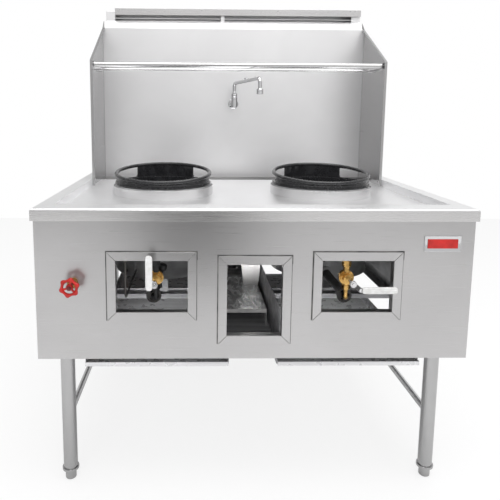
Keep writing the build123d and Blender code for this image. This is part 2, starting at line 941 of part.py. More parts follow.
# ---- gas manifold: behind the front panel, then back along the right side ----
inlet_depth = rear_face + manifold_tail
manifold = pipe(
    [
        (manifold_start, at(valve_depth), manifold_z),
        (manifold_side_x, at(valve_depth), manifold_z),
        (manifold_side_x, at(inlet_depth), manifold_z),
    ],
    manifold_bend, manifold_radius,
)
for side, sign in sides.items():
    manifold += post(
        sign * chamber_x - pilot_side, valve_depth, manifold_z - pilot_stub, manifold_z,
        pilot_cock,
    )
    manifold += post(
        valve_x[side], valve_depth, valve_z + valve_rise, manifold_z, drop_radius
    )
for x in (manifold_start + manifold_bracket, 0.0, manifold_side_x - 2 * manifold_bracket):
    manifold += block(
        x - manifold_bracket / 2, x + manifold_bracket / 2, front_inner, valve_depth,
        manifold_z - manifold_bracket / 2, manifold_z + manifold_bracket / 2,
    )
manifold -= bar_y(
    manifold_side_x, manifold_z, inlet_depth - inlet_bore_depth, inlet_depth + sheet,
    manifold_bore,
)
save("gas_manifold", manifold)

# ---- water side ----
wx = water_valve_x
wz = water_valve_z
wd = water_valve_depth
line_start = wz + gate_half
water = pipe(
    [
        (wx, at(wd), line_start),
        (wx, at(wd), water_run_z),
        (wx, at(water_back_depth), water_run_z),
        (wx, at(water_back_depth), water_cross_z),
        (0, at(water_back_depth), water_cross_z),
        (0, at(water_back_depth), faucet_z),
    ],
    water_bend, water_pipe,
)
water += bar_y(0, faucet_z, splash_depth + sheet, water_back_depth, water_pipe)
water += Pos(0, at(water_back_depth), faucet_z) * Sphere(water_pipe + sheet / 2)
supply = pipe(
    [
        (wx, at(wd), wz - gate_half),
        (wx, at(wd), water_supply_z),
        (wx, at(inlet_depth), water_supply_z),
    ],
    water_bend, water_pipe,
)
supply -= bar_y(
    wx, water_supply_z, inlet_depth - supply_bore_depth, inlet_depth + sheet, water_bore
)
save("water_line", Compound(children=[water, supply]))

gate_front = wd - gate_radius
gate_back = wd + gate_radius
gate_half_wall = gate_wall / 2
valve = post(wx, wd, wz - gate_half, wz + gate_half, gate_neck)
valve += bar_y(wx, wz, gate_front - gate_lift - gate_end, gate_back + gate_end, gate_body)
valve += bar_y(wx, wz, bonnet_front, wd, bonnet_nose)
valve += bar_y(wx, wz, front_inner, front_inner + locknut, gate_body)
valve -= post(wx, wd, wz - gate_half - sheet, wz + gate_half + sheet, water_bore)
valve -= block(
    wx - gate_radius - gate_clear, wx + gate_radius + gate_clear,
    gate_front - gate_lift - gate_clear, gate_back + gate_clear,
    wz - gate_half_wall - gate_clear, wz + gate_half_wall + gate_clear,
)
valve -= bar_y(wx, wz, bonnet_front - sheet, wd, spindle_radius + stem_gap)
save("water_valve", valve)

gate = post(wx, wd, wz - gate_half_wall, wz + gate_half_wall, gate_radius)
gate -= bar_y(wx, wz, gate_front - sheet, gate_back + sheet, spindle_thread + stem_gap)
save("water_gate", gate)

spindle = bar_y(wx, wz, spindle_front, gate_front - gate_lift - 2 * gate_clear, spindle_radius)
spindle += bar_y(wx, wz, spindle_front, wd, spindle_thread)
spindle += bar_y(wx, wz, spindle_front, spindle_front + wheel_nut_length, wheel_nut)
save("spindle", spindle)

wheel_back = spindle_front + wheel_nut_length + wheel_hub_length
wheel_mid = spindle_front + wheel_nut_length + wheel_hub_length / 2
turn = Pos(wx, at(wheel_mid), wz) * Rot(90, 0, 0)
wheel = turn * Torus(wheel_ring_radius, wheel_tube)
for spot in PolarLocations(wheel_radius - wheel_lobe, wheel_lobes, start_angle=wheel_start):
    wheel += turn * spot * Sphere(wheel_lobe)
for spot in PolarLocations(wheel_ring_radius / 2, wheel_spokes, start_angle=wheel_start):
    wheel += turn * spot * Rot(0, 90, 0) * Cylinder(wheel_spoke, wheel_ring_radius)
wheel += bar_y(wx, wz, wheel_back - wheel_hub_length, wheel_back, wheel_hub)
wheel -= bar_y(wx, wz, 2 * spindle_front, wheel_back + sheet, spindle_radius + stem_gap)
save("handwheel", wheel)

# ---- faucet: wall flange, body, and a swing spout that rises to an arm ----
body = bar_y(0, faucet_z, splash_depth - faucet_flange, splash_depth, faucet_flange_radius)
body += bar_y(0, faucet_z, faucet_depth, splash_depth - faucet_flange, faucet_shank)
body += post(0, faucet_depth, faucet_body_bottom, faucet_body_top, faucet_body_radius)
body = chamfer(body.faces().sort_by(Axis.Z)[0].edges(), faucet_chamfer)
body -= post(
    0, faucet_depth, faucet_body_top - spout_pin_length - spout_pin_gap,
    faucet_body_top + sheet, spout_pin + spout_pin_gap,
)
save("faucet_body", body)

heading = math.radians(spout_heading)
tip_x = spout_reach * math.sin(heading)
tip_depth = faucet_depth - spout_reach * math.cos(heading)
spout = pipe(
    [
        (0, at(faucet_depth), faucet_body_top),
        (0, at(faucet_depth), spout_elbow_z),
        (tip_x, at(tip_depth), spout_tip_z),
        (tip_x, at(tip_depth), spout_end_z),
    ],
    [spout_elbow_radius, spout_tip_radius], spout_tube,
)
spout += post(
    0, faucet_depth, faucet_body_top - spout_pin_length, faucet_body_top, spout_pin
)
spout += post(0, faucet_depth, faucet_body_top, faucet_body_top + spout_nut, spout_nut_radius)
aerator_low = spout_end_z - aerator_length
spout += post(tip_x, tip_depth, aerator_low, spout_end_z, aerator_radius)
spout -= post(
    tip_x, tip_depth, aerator_low - sheet, aerator_low + aerator_length / 2, aerator_bore
)
arm_mid = spout_nub_share * spout_reach
nub_z = spout_elbow_z + spout_nub_share * (spout_tip_z - spout_elbow_z) + spout_tube
spout += post(
    arm_mid * math.sin(heading), faucet_depth - arm_mid * math.cos(heading),
    nub_z - spout_tube, nub_z + spout_nub, spout_nub,
)
save("faucet_spout", spout)

# ---- backsplash with its bevel, and the slanted wings ----
bevel_foot = splash_depth + sheet
splash = block(
    -splash_half, splash_half, splash_depth, bevel_foot, splash_foot, splash_top
)
splash += profile_x(
    [
        (splash_depth, splash_top - sheet),
        (bevel_foot, splash_top - sheet),
        (riser_depth, bevel_top - math.sqrt(2) * sheet),
        (riser_depth, bevel_top),
        (splash_depth, splash_top),
    ],
    -riser_half, riser_half,
)
splash -= bar_y(0, faucet_z, 0, body_depth, water_bore)
save("backsplash", splash)

wing_outer = splash_half + sheet
for side, sign in sides.items():
    wing = profile_x(
        [
            (wing_front, well_floor),
            (bevel_foot, well_floor),
            (bevel_foot, deck_height),
            (riser_depth - chamber_gap, deck_height),
            (riser_depth - chamber_gap, bevel_top - chamber_gap),
            (splash_depth, splash_top),
            (wing_front, wing_corner),
        ],
        sign * splash_half, sign * wing_outer,
    )
    wing += block(
        sign * (splash_half - wing_hem), sign * wing_outer, wing_front,
        wing_front + sheet, well_floor, wing_corner,
    )
    wing += profile_x(
        [
            (wing_front, wing_corner - sheet),
            (splash_depth, splash_top - sheet),
            (splash_depth, splash_top),
            (wing_front, wing_corner),
        ],
        sign * (splash_half - wing_hem), sign * wing_outer,
    )
    wing += bar_x(
        sign * (splash_half - wing_screw_head), sign * splash_half, wing_screw_depth,
        wing_screw_z, wing_screw_radius,
    )
    save("wing_" + side, wing)

# ---- flue riser with two slots, a louver inside them, and the vent cap ----
riser = block(-riser_half, riser_half, riser_depth, riser_back, riser_bottom, riser_top)
riser -= block(
    -riser_half + sheet, riser_half - sheet, riser_depth + sheet, riser_back - sheet,
    riser_bottom + sheet, riser_top - sheet,
)
for sign in (-1, 1):
    riser -= block(
        sign * chamber_x - duct_width / 2, sign * chamber_x + duct_width / 2,
        riser_depth - sheet, riser_depth + 2 * sheet,
        duct_centre_z - duct_height / 2, duct_centre_z + duct_height / 2,
    )
    riser += block(
        sign * chamber_x - bracket_width / 2, sign * chamber_x + bracket_width / 2,
        riser_back, rear_face - sheet, duct_centre_z - bracket_height / 2,
        duct_centre_z + bracket_height / 2,
    )
post_left = slot_post_x - slot_post_width / 2
post_right = slot_post_x + slot_post_width / 2
for x0, x1 in ((-slot_half, post_left), (post_right, slot_half)):
    riser -= block(x0, x1, riser_depth - sheet, riser_depth + 2 * sheet, slot_bottom, slot_top)
riser += block(
    -riser_half + sheet, riser_half - sheet, riser_depth + 2 * sheet,
    riser_depth + 2 * sheet + louver_depth, louver_z, louver_z + louver_thick,
)
save("flue_riser", riser)

cap = block(
    -slot_half, riser_half, riser_depth - cap_front, riser_back, riser_top,
    riser_top + sheet,
)
cap += block(
    -slot_half, riser_half, riser_depth - cap_front - sheet, riser_depth - cap_front,
    riser_top - cap_lip_drop, riser_top + cap_height,
)
save("vent_cap", cap)

# ---- rack rails between the wings ----
racks = {
    "rack_rail_front": (rack_front_inset, rack_front_drop, rack_front_radius, rack_front_cup),
    "rack_rail_rear": (rack_rear_inset, rack_rear_drop, rack_rear_radius, rack_rear_cup),
}
for name, (inset, drop, radius, cup) in racks.items():
    d = wing_front + inset
    z = wing_corner - drop
    rail = bar_x(-splash_half, splash_half, d, z, radius)
    for sign in (-1, 1):
        rail += bar_x(
            sign * (splash_half - rack_cup_length), sign * splash_half, d, z, cup
        )
    save(name, rail)

# ---- legs, feet and side rails ----
plug_top = leg_plug_bottom + leg_plug_height
for side, sign in sides.items():
    x = sign * leg_x
    for end, d in corners.items():
        leg = post(x, d, leg_plug_bottom, leg_top, leg_radius)
        leg -= post(x, d, plug_top, leg_top + sheet, leg_radius - leg_wall)
        leg += post(x, d, leg_plug_bottom, leg_plug_bottom + leg_flange, leg_flange_radius)
        leg -= post(x, d, 0, plug_top + sheet, foot_stem + foot_stem_gap)
        save("leg_" + end + "_" + side, leg)

        foot = post(x, d, 0, leg_plug_bottom, foot_radius)
        foot = fillet(foot.faces().sort_by(Axis.Z)[0].edges(), foot_round)
        foot += post(
            x, d, leg_plug_bottom, leg_plug_bottom + foot_stem_length, foot_stem
        )
        save("foot_" + end + "_" + side, foot)

    rail = bar_y(x, rail_z, leg_front_depth, leg_rear_depth, rail_radius)
    rail -= bar_y(x, rail_z, 0, rear_face, rail_radius - rail_wall)
    for d in corners.values():
        rail -= post(x, d, 0, leg_top, leg_radius + rail_gap)
    save("side_rail_" + side, rail)

# ---- drip trays and the frame of runners that carries them ----
tray_bottom = tray_top - tray_height
runner_bottom = tray_bottom - runner_wall
strap_half = tray_outer_x + runner_gap + runner_flange
frame = block(
    -strap_half, strap_half, runner_front, runner_front + runner_lip,
    panel_bottom - runner_wall, panel_bottom,
)
frame += block(
    -strap_half, strap_half, runner_rear - runner_lip, runner_rear,
    panel_bottom - runner_wall, panel_bottom,
)
for side, sign in sides.items():
    tray = block(
        sign * tray_inner_x, sign * tray_outer_x, tray_front, tray_rear, tray_bottom,
        tray_top,
    )
    tray -= block(
        sign * (tray_inner_x + tray_wall), sign * (tray_outer_x - tray_wall),
        tray_front + tray_wall, tray_rear - tray_wall, tray_bottom + tray_wall,
        tray_top + sheet,
    )
    save("drip_tray_" + side, tray)
    for edge, out in ((tray_inner_x, -1), (tray_outer_x, 1)):
        web = edge + out * runner_gap
        frame += block(
            sign * web, sign * (web + out * runner_wall), runner_front, runner_rear,
            runner_bottom, panel_bottom,
        )
        frame += block(
            sign * (web - out * runner_lip), sign * (web + out * runner_wall),
            runner_front, runner_rear, runner_bottom, tray_bottom,
        )
        frame += block(
            sign * web, sign * (web + out * runner_flange), runner_front, runner_rear,
            panel_bottom - runner_wall, panel_bottom,
        )
save("tray_frame", frame)

# ---- underframe: the centre bay, two cross channels, and a stay under each chamber ----
bay_floor = panel_bottom + sheet
under = block(-bay_half, bay_half, bay_front, bay_rear, bay_floor, bay_floor + bay_wall)
for sign in (-1, 1):
    under += block(
        sign * bay_half, sign * (bay_half + bay_wall), bay_front, bay_rear, bay_floor,
        bay_top,
    )
    for d in (cross_front_depth, cross_rear_depth):
        channel = block(
            sign * bay_half, sign * panel_inner, d, d + cross_width, bay_floor,
            bay_floor + cross_height,
        )
        channel -= block(
            sign * (bay_half + bay_wall), sign * (panel_inner + sheet), d + cross_wall,
            d + cross_width - cross_wall, bay_floor + cross_wall,
            bay_floor + cross_height + sheet,
        )
        under += channel
    stay_x0 = sign * chamber_x - stay_width / 2
    stay_x1 = sign * chamber_x + stay_width / 2
    stay_depth = chamber_depth + chamber_floor_hole + stay_gap
    under += block(
        stay_x0, stay_x1, stay_depth, stay_depth + stay_wall, bay_floor, chamber_bottom
    )
    under += block(
        stay_x0, stay_x1, stay_depth, stay_depth + stay_fold, chamber_bottom - stay_wall,
        chamber_bottom,
    )
under -= post(
    drain_x, gutter_mid, bay_floor - sheet, bay_floor + 2 * bay_wall, drain_radius + drain_gap
)
save("underframe", under)

# ---- centre shelf on the bay floor, with the tapered chute up to the deck ----
shelf_floor = bay_floor + bay_wall
shelf = block(
    -shelf_half, shelf_half, shelf_front, shelf_rear, shelf_top - sheet, shelf_top
)
shelf += block(
    -shelf_half, shelf_half, shelf_front, shelf_front + shelf_bar, shelf_top - shelf_bar,
    shelf_top,
)
for sign in (-1, 1):
    shelf += block(
        sign * (shelf_half - sheet), sign * shelf_half, shelf_front, shelf_rear,
        shelf_floor, shelf_top,
    )
deck_floor_under = well_floor - sheet


def chute_block(shrink, d0, d1):
    foot = chute_foot / 2 - shrink
    top = chute_head / 2 - shrink
    face = make_face(
        Polyline(
            (-foot, shelf_top - sheet / 2), (foot, shelf_top - sheet / 2), (top, chute_shoulder),
            (top, deck_floor_under), (-top, deck_floor_under), (-top, chute_shoulder),
            close=True,
        )
    )
    return Pos(chute_x, at(d1), 0) * Rot(90, 0, 0) * extrude(face, d1 - d0)


chute = chute_block(0, chute_depth, chute_depth + chute_fold)
chute -= chute_block(sheet, chute_depth + sheet, chute_depth + chute_fold + sheet)
shelf += chute
save("centre_shelf", shelf)
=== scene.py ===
import json
import math

import bmesh
import bpy
from mathutils import Matrix, Vector, noise


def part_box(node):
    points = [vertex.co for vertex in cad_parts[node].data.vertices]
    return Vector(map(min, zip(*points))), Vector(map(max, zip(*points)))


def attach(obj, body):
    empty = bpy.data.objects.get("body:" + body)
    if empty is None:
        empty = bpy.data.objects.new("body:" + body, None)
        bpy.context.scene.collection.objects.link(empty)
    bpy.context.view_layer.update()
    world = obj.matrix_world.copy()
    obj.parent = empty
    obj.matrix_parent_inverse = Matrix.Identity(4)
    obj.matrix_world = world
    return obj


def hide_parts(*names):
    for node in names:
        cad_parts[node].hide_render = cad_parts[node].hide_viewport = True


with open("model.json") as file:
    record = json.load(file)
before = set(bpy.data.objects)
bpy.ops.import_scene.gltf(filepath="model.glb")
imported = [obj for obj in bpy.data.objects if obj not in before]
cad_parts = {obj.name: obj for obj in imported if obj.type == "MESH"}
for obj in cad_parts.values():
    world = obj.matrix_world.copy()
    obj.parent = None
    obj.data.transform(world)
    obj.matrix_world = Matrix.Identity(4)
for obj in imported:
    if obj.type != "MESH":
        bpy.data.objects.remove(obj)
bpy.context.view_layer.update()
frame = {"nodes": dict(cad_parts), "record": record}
cad_nodes = frame["nodes"]
record = frame["record"]
body_of = {
    node: body for body, names in record["behaviour"]["bodies"].items() for node in names
}
slot_of = {part["node"]: part["material_slot"] for part in record["subparts"]}

# ---- sizes of the modelled pieces, in metres ----
MM = 0.001
JOIN = 0.002 * MM
SHEET_EDGE = 0.5 * MM
SMOOTH_BELOW = math.radians(32)
BEVEL_ABOVE = math.radians(38)
FLAT_WITHIN = math.radians(0.8)
FACES_THAT_WAY = 0.9
SHELF_TOP = 468 * MM

# ---- camera: fitted to the photograph, image 500 x 500 ----
IMAGE = 500
FOCAL_PIXELS = 515.455
AXIS_PIXEL = (203.735, 180.158)
CAMERA_AT = (-0.167036, -1.86258, 1.096043)
LOOKS_RIGHT = 1.012
LOOKS_DOWN = 7.530
ROLL = 0.308

# ---- tones of the finishes: STEEL_TONE is the stainless; the splash, deck, lip and band copies of it are lighter, painted light, and the wing copy darker, painted shade ----
STEEL_TONE = (0.53, 0.523, 0.525)
SPLASH_PAINTED_LIGHT_TONE = (0.90, 0.895, 0.90)
WING_PAINTED_SHADE_TONE = (0.46, 0.457, 0.46)
LIP_PAINTED_LIGHT_TONE = (0.70, 0.69, 0.69)
DECK_PAINTED_LIGHT_TONE = (0.90, 0.90, 0.905)
BAND_PAINTED_LIGHT_TONE = (0.76, 0.755, 0.76)
BRIGHT_TONE = (0.60, 0.597, 0.60)
CHROME_TONE = (0.66, 0.66, 0.67)


# ---------------------------------------------------------------- materials
def new_material(name, tone, metal, rough):
    material = bpy.data.materials.new(name)
    material.use_nodes = True
    shader = material.node_tree.nodes["Principled BSDF"]
    shader.inputs["Base Color"].default_value = (*tone, 1)
    shader.inputs["Metallic"].default_value = metal
    shader.inputs["Roughness"].default_value = rough
    return material, material.node_tree, shader


def object_noise(tree, scale, detail=2.0, warp=0.0):
    """Noise in the object's own space, with a scale for each axis."""
    place = tree.nodes.new("ShaderNodeTexCoord")
    mapping = tree.nodes.new("ShaderNodeMapping")
    mapping.inputs["Scale"].default_value = scale
    noise = tree.nodes.new("ShaderNodeTexNoise")
    noise.inputs["Scale"].default_value = 1.0
    noise.inputs["Detail"].default_value = detail
    noise.inputs["Distortion"].default_value = warp
    tree.links.new(place.outputs["Object"], mapping.inputs["Vector"])
    tree.links.new(mapping.outputs["Vector"], noise.inputs["Vector"])
    return noise.outputs["Fac"]


def spread(tree, value, low, high, start=0.3, end=0.7):
    """Maps a value that runs from start to end onto low to high."""
    node = tree.nodes.new("ShaderNodeMapRange")
    node.inputs["From Min"].default_value = start
    node.inputs["From Max"].default_value = end
    node.inputs["To Min"].default_value = low
    node.inputs["To Max"].default_value = high
    tree.links.new(value, node.inputs["Value"])
    return node.outputs["Result"]


def two_tones(tree, value, first, second):
    mix = tree.nodes.new("ShaderNodeMix")
    mix.data_type = "RGBA"
    mix.inputs["A"].default_value = (*first, 1)
    mix.inputs["B"].default_value = (*second, 1)
    tree.links.new(value, mix.inputs["Factor"])
    return mix.outputs["Result"]


def raised(tree, shader, height, depth, after=None):
    """A bump of the given depth, on top of an earlier one if there is one."""
    bump = tree.nodes.new("ShaderNodeBump")
    bump.inputs["Distance"].default_value = depth
    bump.inputs["Strength"].default_value = 1.0
    tree.links.new(height, bump.inputs["Height"])
    if after is not None:
        tree.links.new(after, bump.inputs["Normal"])
    tree.links.new(bump.outputs["Normal"], shader.inputs["Normal"])
    return bump.outputs["Normal"]


def scaled_tone(tone, factor):
    return tuple(min(1.0, part * factor) for part in tone)


def polished_sheet(name, tone, rough, grain, depth=0.006 * MM):
    """Rolled stainless sheet: a straight polishing grain, faint smears and soft waves."""
    material, tree, shader = new_material(name, tone, 1.0, rough)
    lines = object_noise(tree, grain, detail=3.0)
    smears = object_noise(tree, (2.6, 2.6, 3.4), detail=4.0, warp=0.6)
    tones = two_tones(
        tree, spread(tree, smears, 0.0, 1.0), scaled_tone(tone, 0.95), scaled_tone(tone, 1.03)
    )
    tree.links.new(tones, shader.inputs["Base Color"])
    roughness = spread(tree, lines, rough - 0.03, rough + 0.04)
    tree.links.new(roughness, shader.inputs["Roughness"])
    waves = raised(tree, shader, object_noise(tree, (3.0, 3.0, 3.0), detail=1.0), 0.6 * MM)
    raised(tree, shader, lines, depth, after=waves)
    return material


GRAIN_FINE = 1400.0
GRAIN_LONG = 7.0
sheet_across = polished_sheet(
    "sheet_grain_across", STEEL_TONE, 0.30, (GRAIN_LONG, GRAIN_FINE, GRAIN_FINE)
)
sheet_back = polished_sheet(
    "sheet_grain_back", STEEL_TONE, 0.30, (GRAIN_FINE, GRAIN_LONG, GRAIN_FINE)
)
# The splash sheet is the stainless with a far lighter tone: painted light.
sheet_splash = polished_sheet(
    "sheet_splash", SPLASH_PAINTED_LIGHT_TONE, 0.42, (GRAIN_LONG, GRAIN_FINE, GRAIN_FINE), 0.003 * MM
)
# The wing sheet is the stainless with a darker tone: painted shade.
sheet_wing = polished_sheet(
    "sheet_wing", WING_PAINTED_SHADE_TONE, 0.24, (GRAIN_FINE, GRAIN_LONG, GRAIN_FINE)
)
# The deck sheet is the stainless with a far lighter tone: painted light.
sheet_deck = polished_sheet(
    "sheet_deck", DECK_PAINTED_LIGHT_TONE, 0.38, (GRAIN_LONG, GRAIN_FINE, GRAIN_FINE)
)
# The lip and band sheets are the stainless with lighter tones: painted light.
sheet_lip = polished_sheet("sheet_lip", LIP_PAINTED_LIGHT_TONE, 0.28, (GRAIN_LONG, GRAIN_FINE, GRAIN_FINE))
sheet_round = polished_sheet("sheet_round", BAND_PAINTED_LIGHT_TONE, 0.22, (38.0, 38.0, 4.0), 0.02 * MM)


def drawn_tube(name, tone, rough, grain):
    """Polished tube: fine rings from the polishing belt and a few handling marks."""
    material, tree, shader = new_material(name, tone, 1.0, rough)
    rings = object_noise(tree, grain, detail=2.0)
    marks = object_noise(tree, (30.0, 30.0, 9.0), detail=5.0, warp=0.8)
    tree.links.new(
        two_tones(tree, spread(tree, marks, 0.0, 1.0), scaled_tone(tone, 0.92), tone),
        shader.inputs["Base Color"],
    )
    tree.links.new(spread(tree, rings, rough - 0.04, rough + 0.05), shader.inputs["Roughness"])
    raised(tree, shader, rings, 0.008 * MM)
    return material


# The upright tubes take 0.78 of the bright tone, darker than the rails: painted shade.
tube_upright_shaded = drawn_tube(
    "tube_upright_shaded", scaled_tone(BRIGHT_TONE, 0.78), 0.08, (90.0, 90.0, 1600.0)
)
tube_back = drawn_tube("tube_back", BRIGHT_TONE, 0.18, (90.0, 1600.0, 90.0))
tube_across = drawn_tube("tube_across", BRIGHT_TONE, 0.18, (1600.0, 90.0, 90.0))


def plated(name):
    material, tree, shader = new_material(name, CHROME_TONE, 1.0, 0.06)
    spots = object_noise(tree, (240.0, 240.0, 240.0), detail=4.0)
    tree.links.new(spread(tree, spots, 0.04, 0.13), shader.inputs["Roughness"])
    raised(tree, shader, object_noise(tree, (80.0, 80.0, 80.0)), 0.02 * MM)
    return material


chrome = plated("chrome_plate")


def enamelled_iron(name, tone, rough, pits, gloss=0.22):
    """Cast iron under a gloss coat: the sand's texture shows through as soft pits."""
    material, tree, shader = new_material(name, tone, 0.0, rough)
    shader.inputs["Specular IOR Level"].default_value = 0.3
    shader.inputs["Coat Weight"].default_value = gloss
    shader.inputs["Coat Roughness"].default_value = 0.06
    sand = object_noise(tree, (420.0, 420.0, 420.0), detail=5.0)
    cloud = object_noise(tree, (34.0, 34.0, 34.0), detail=3.0)
    tree.links.new(
        two_tones(tree, spread(tree, cloud, 0.0, 1.0), tone, scaled_tone(tone, 1.8)),
        shader.inputs["Base Color"],
    )
    tree.links.new(spread(tree, cloud, rough - 0.06, rough + 0.1), shader.inputs["Roughness"])
    soft = raised(tree, shader, cloud, 0.3 * MM)
    raised(tree, shader, sand, pits, after=soft)
    return material


black_enamel = enamelled_iron("black_enamel", (0.010, 0.010, 0.011), 0.24, 0.02 * MM, 0.42)
red_enamel = enamelled_iron("red_enamel", (0.27, 0.010, 0.008), 0.34, 0.16 * MM)
hub_enamel = enamelled_iron("hub_enamel", (0.09, 0.012, 0.012), 0.30, 0.10 * MM)
burner_iron = enamelled_iron("burner_iron", (0.020, 0.019, 0.018), 0.5, 0.25 * MM)


def heated_steel(name, tone, rough):
    """Dark mill-finish steel with heat scale and soot in soft clouds."""
    material, tree, shader = new_material(name, tone, 0.4, rough)
    cloud = object_noise(tree, (9.0, 9.0, 13.0), detail=6.0, warp=0.7)
    scale = object_noise(tree, (260.0, 260.0, 260.0), detail=4.0)
    tree.links.new(
        two_tones(
            tree, spread(tree, cloud, 0.0, 1.0), scaled_tone(tone, 0.6), scaled_tone(tone, 1.5)
        ),
        shader.inputs["Base Color"],
    )
    tree.links.new(spread(tree, cloud, rough - 0.1, rough + 0.14), shader.inputs["Roughness"])
    raised(tree, shader, scale, 0.05 * MM)
    return material


dark_steel = heated_steel("dark_steel", (0.30, 0.30, 0.305), 0.34)
black_pipe = heated_steel("black_pipe", (0.016, 0.016, 0.017), 0.42)
pilot_tube = heated_steel("pilot_tube", (0.05, 0.047, 0.044), 0.30)


def cast_brass(name, tone, rough, turned):
    material, tree, shader = new_material(name, tone, 1.0, rough)
    cloud = object_noise(tree, (110.0, 110.0, 110.0), detail=4.0, warp=0.5)
    skin = object_noise(tree, turned, detail=3.0)
    tree.links.new(
        two_tones(
            tree, spread(tree, cloud, 0.0, 1.0), scaled_tone(tone, 0.62), scaled_tone(tone, 1.08)
        ),
        shader.inputs["Base Color"],
    )
    tree.links.new(spread(tree, cloud, rough + 0.12, rough - 0.06), shader.inputs["Roughness"])
    raised(tree, shader, skin, 0.05 * MM)
    return material


brass = cast_brass("brass", (0.80, 0.50, 0.17), 0.26, (500.0, 500.0, 500.0))
copper = cast_brass("copper_tube", (0.72, 0.42, 0.27), 0.24, (140.0, 140.0, 140.0))


def dipped_vinyl(name):
    """White sleeve, slightly soiled, with a fine orange-peel skin."""
    tone = (0.62, 0.62, 0.62)
    material, tree, shader = new_material(name, tone, 0.0, 0.42)
    dirt = object_noise(tree, (70.0, 70.0, 70.0), detail=5.0)
    tree.links.new(
        two_tones(tree, spread(tree, dirt, 0.0, 1.0, 0.35, 0.8), tone, (0.46, 0.455, 0.44)),
        shader.inputs["Base Color"],
    )
    raised(tree, shader, object_noise(tree, (600.0, 600.0, 600.0)), 0.06 * MM)
    return material


vinyl = dipped_vinyl("white_vinyl")


def painted_shadow_sheet(name):
    """Painted shadow: a dark mottled strip that stands for the shadow gap round each window trim.
    """
    material, tree, shader = new_material(name, (0.05, 0.05, 0.05), 0.0, 0.6)
    shadow_mottle = object_noise(tree, (24.0, 24.0, 24.0), detail=5.0)
    tree.links.new(
        two_tones(tree, spread(tree, shadow_mottle, 0.0, 1.0), (0.03, 0.03, 0.03), (0.16, 0.155, 0.15)),
        shader.inputs["Base Color"],
    )
    raised(tree, shader, object_noise(tree, (700.0, 700.0, 700.0)), 0.05 * MM)
    return material


# The dark strips round the window trims: painted shadow.
painted_shadow_line = painted_shadow_sheet("painted_shadow_line")


def mill_sheet(name, tone, rough, metal, streaks, dark=0.55, light=1.3):
    """Unpolished sheet inside the body: a dull skin with long rolling streaks and dust."""
    material, tree, shader = new_material(name, tone, metal, rough)
    rolled = object_noise(tree, streaks, detail=4.0, warp=0.3)
    dust = object_noise(tree, (40.0, 40.0, 40.0), detail=6.0)
    tree.links.new(
        two_tones(
            tree, spread(tree, rolled, 0.0, 1.0), scaled_tone(tone, dark),
            scaled_tone(tone, light),
        ),
        shader.inputs["Base Color"],
    )
    tree.links.new(spread(tree, dust, rough - 0.08, rough + 0.12), shader.inputs["Roughness"])
    raised(tree, shader, rolled, 0.04 * MM)
    return material


tray_sheet = mill_sheet(
    "tray_sheet", (0.58, 0.58, 0.59), 0.30, 0.4, (2.0, 60.0, 60.0), 0.84, 1.08
)
frame_sheet = mill_sheet("frame_sheet", (0.34, 0.34, 0.35), 0.36, 0.2, (3.0, 40.0, 40.0))
chute_sheet = mill_sheet("chute_sheet", (0.50, 0.495, 0.49), 0.42, 0.0, (20.0, 20.0, 2.0), 0.8, 1.1)


def filmed_sheet(name):
    """Stainless under a crinkled clear film; its colour is lifted far above the steel and lightest
    on the fold tops, a painted highlight.
    """
    material, tree, shader = new_material(name, scaled_tone(STEEL_TONE, 1.2), 0.45, 0.2)
    shader.inputs["Coat Weight"].default_value = 0.8
    shader.inputs["Coat Roughness"].default_value = 0.08
    folds_and_sheen = object_noise(tree, (38.0, 14.0, 30.0), detail=3.0, warp=1.2)
    tree.links.new(spread(tree, folds_and_sheen, 0.1, 0.4), shader.inputs["Roughness"])
    # Colour from the folds: lighter on the fold tops, painted highlights on the crinkles.
    tree.links.new(
        two_tones(
            tree, spread(tree, folds_and_sheen, 0.0, 1.0, 0.4, 0.6),
            scaled_tone(STEEL_TONE, 1.3), scaled_tone(STEEL_TONE, 2.4),
        ),
        shader.inputs["Base Color"],
    )
    raised(tree, shader, folds_and_sheen, 0.7 * MM)
    return material


film = filmed_sheet("filmed_sheet")

finish_of_slot = {
    "panel_steel": sheet_across,
    "bright_steel": tube_upright_shaded,
    "chrome": chrome,
    "black_cast": black_enamel,
    "dark_steel": dark_steel,
    "black_pipe": black_pipe,
    "brass": brass,
    "copper_tube": copper,
    "white_sleeve": vinyl,
    "red_enamel": red_enamel,
}
finish_of_node = {
    "deck_pan": sheet_deck,
    "backsplash": sheet_splash,
    "flue_riser": sheet_splash,
    "vent_cap": sheet_lip,
    "name_plate": chrome,
    "spindle": hub_enamel,
    "pilot_line_left": pilot_tube,
    "pilot_line_right": pilot_tube,
    "underframe": frame_sheet,
    "tray_frame": frame_sheet,
    "centre_shelf": chute_sheet,
    "side_panel_left": sheet_back,
    "side_panel_right": sheet_back,
    "wing_left": sheet_wing,
    "wing_right": sheet_wing,
    "drip_tray_left": tray_sheet,
    "drip_tray_right": tray_sheet,
    "collar_left": sheet_round,
    "collar_right": sheet_round,
    "burner_left": burner_iron,
    "burner_right": burner_iron,
    "air_shutter_left": burner_iron,
    "air_shutter_right": burner_iron,
    "rack_rail_front": tube_across,
    "rack_rail_rear": tube_across,
    "side_rail_left": tube_back,
    "side_rail_right": tube_back,
}


# ---------------------------------------------------------------- pieces
def finish_piece(name, mesh, material, body, edge=0.0, segments=2):
    """Turns a bmesh in the row frame into a piece that rides on a body."""
    data = bpy.data.meshes.new(name)
    mesh.to_mesh(data)
    mesh.free()
    data.shade_smooth()
    data.set_sharp_from_angle(angle=SMOOTH_BELOW)
    data.materials.append(material)
    piece = bpy.data.objects.new(name, data)
    bpy.context.scene.collection.objects.link(piece)
    if edge:
        bevel = piece.modifiers.new("eased_edges", "BEVEL")
        bevel.width = edge
        bevel.segments = segments
        bevel.limit_method = "ANGLE"
        bevel.angle_limit = BEVEL_ABOVE
        bevel.harden_normals = True
    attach(piece, body)
    return piece


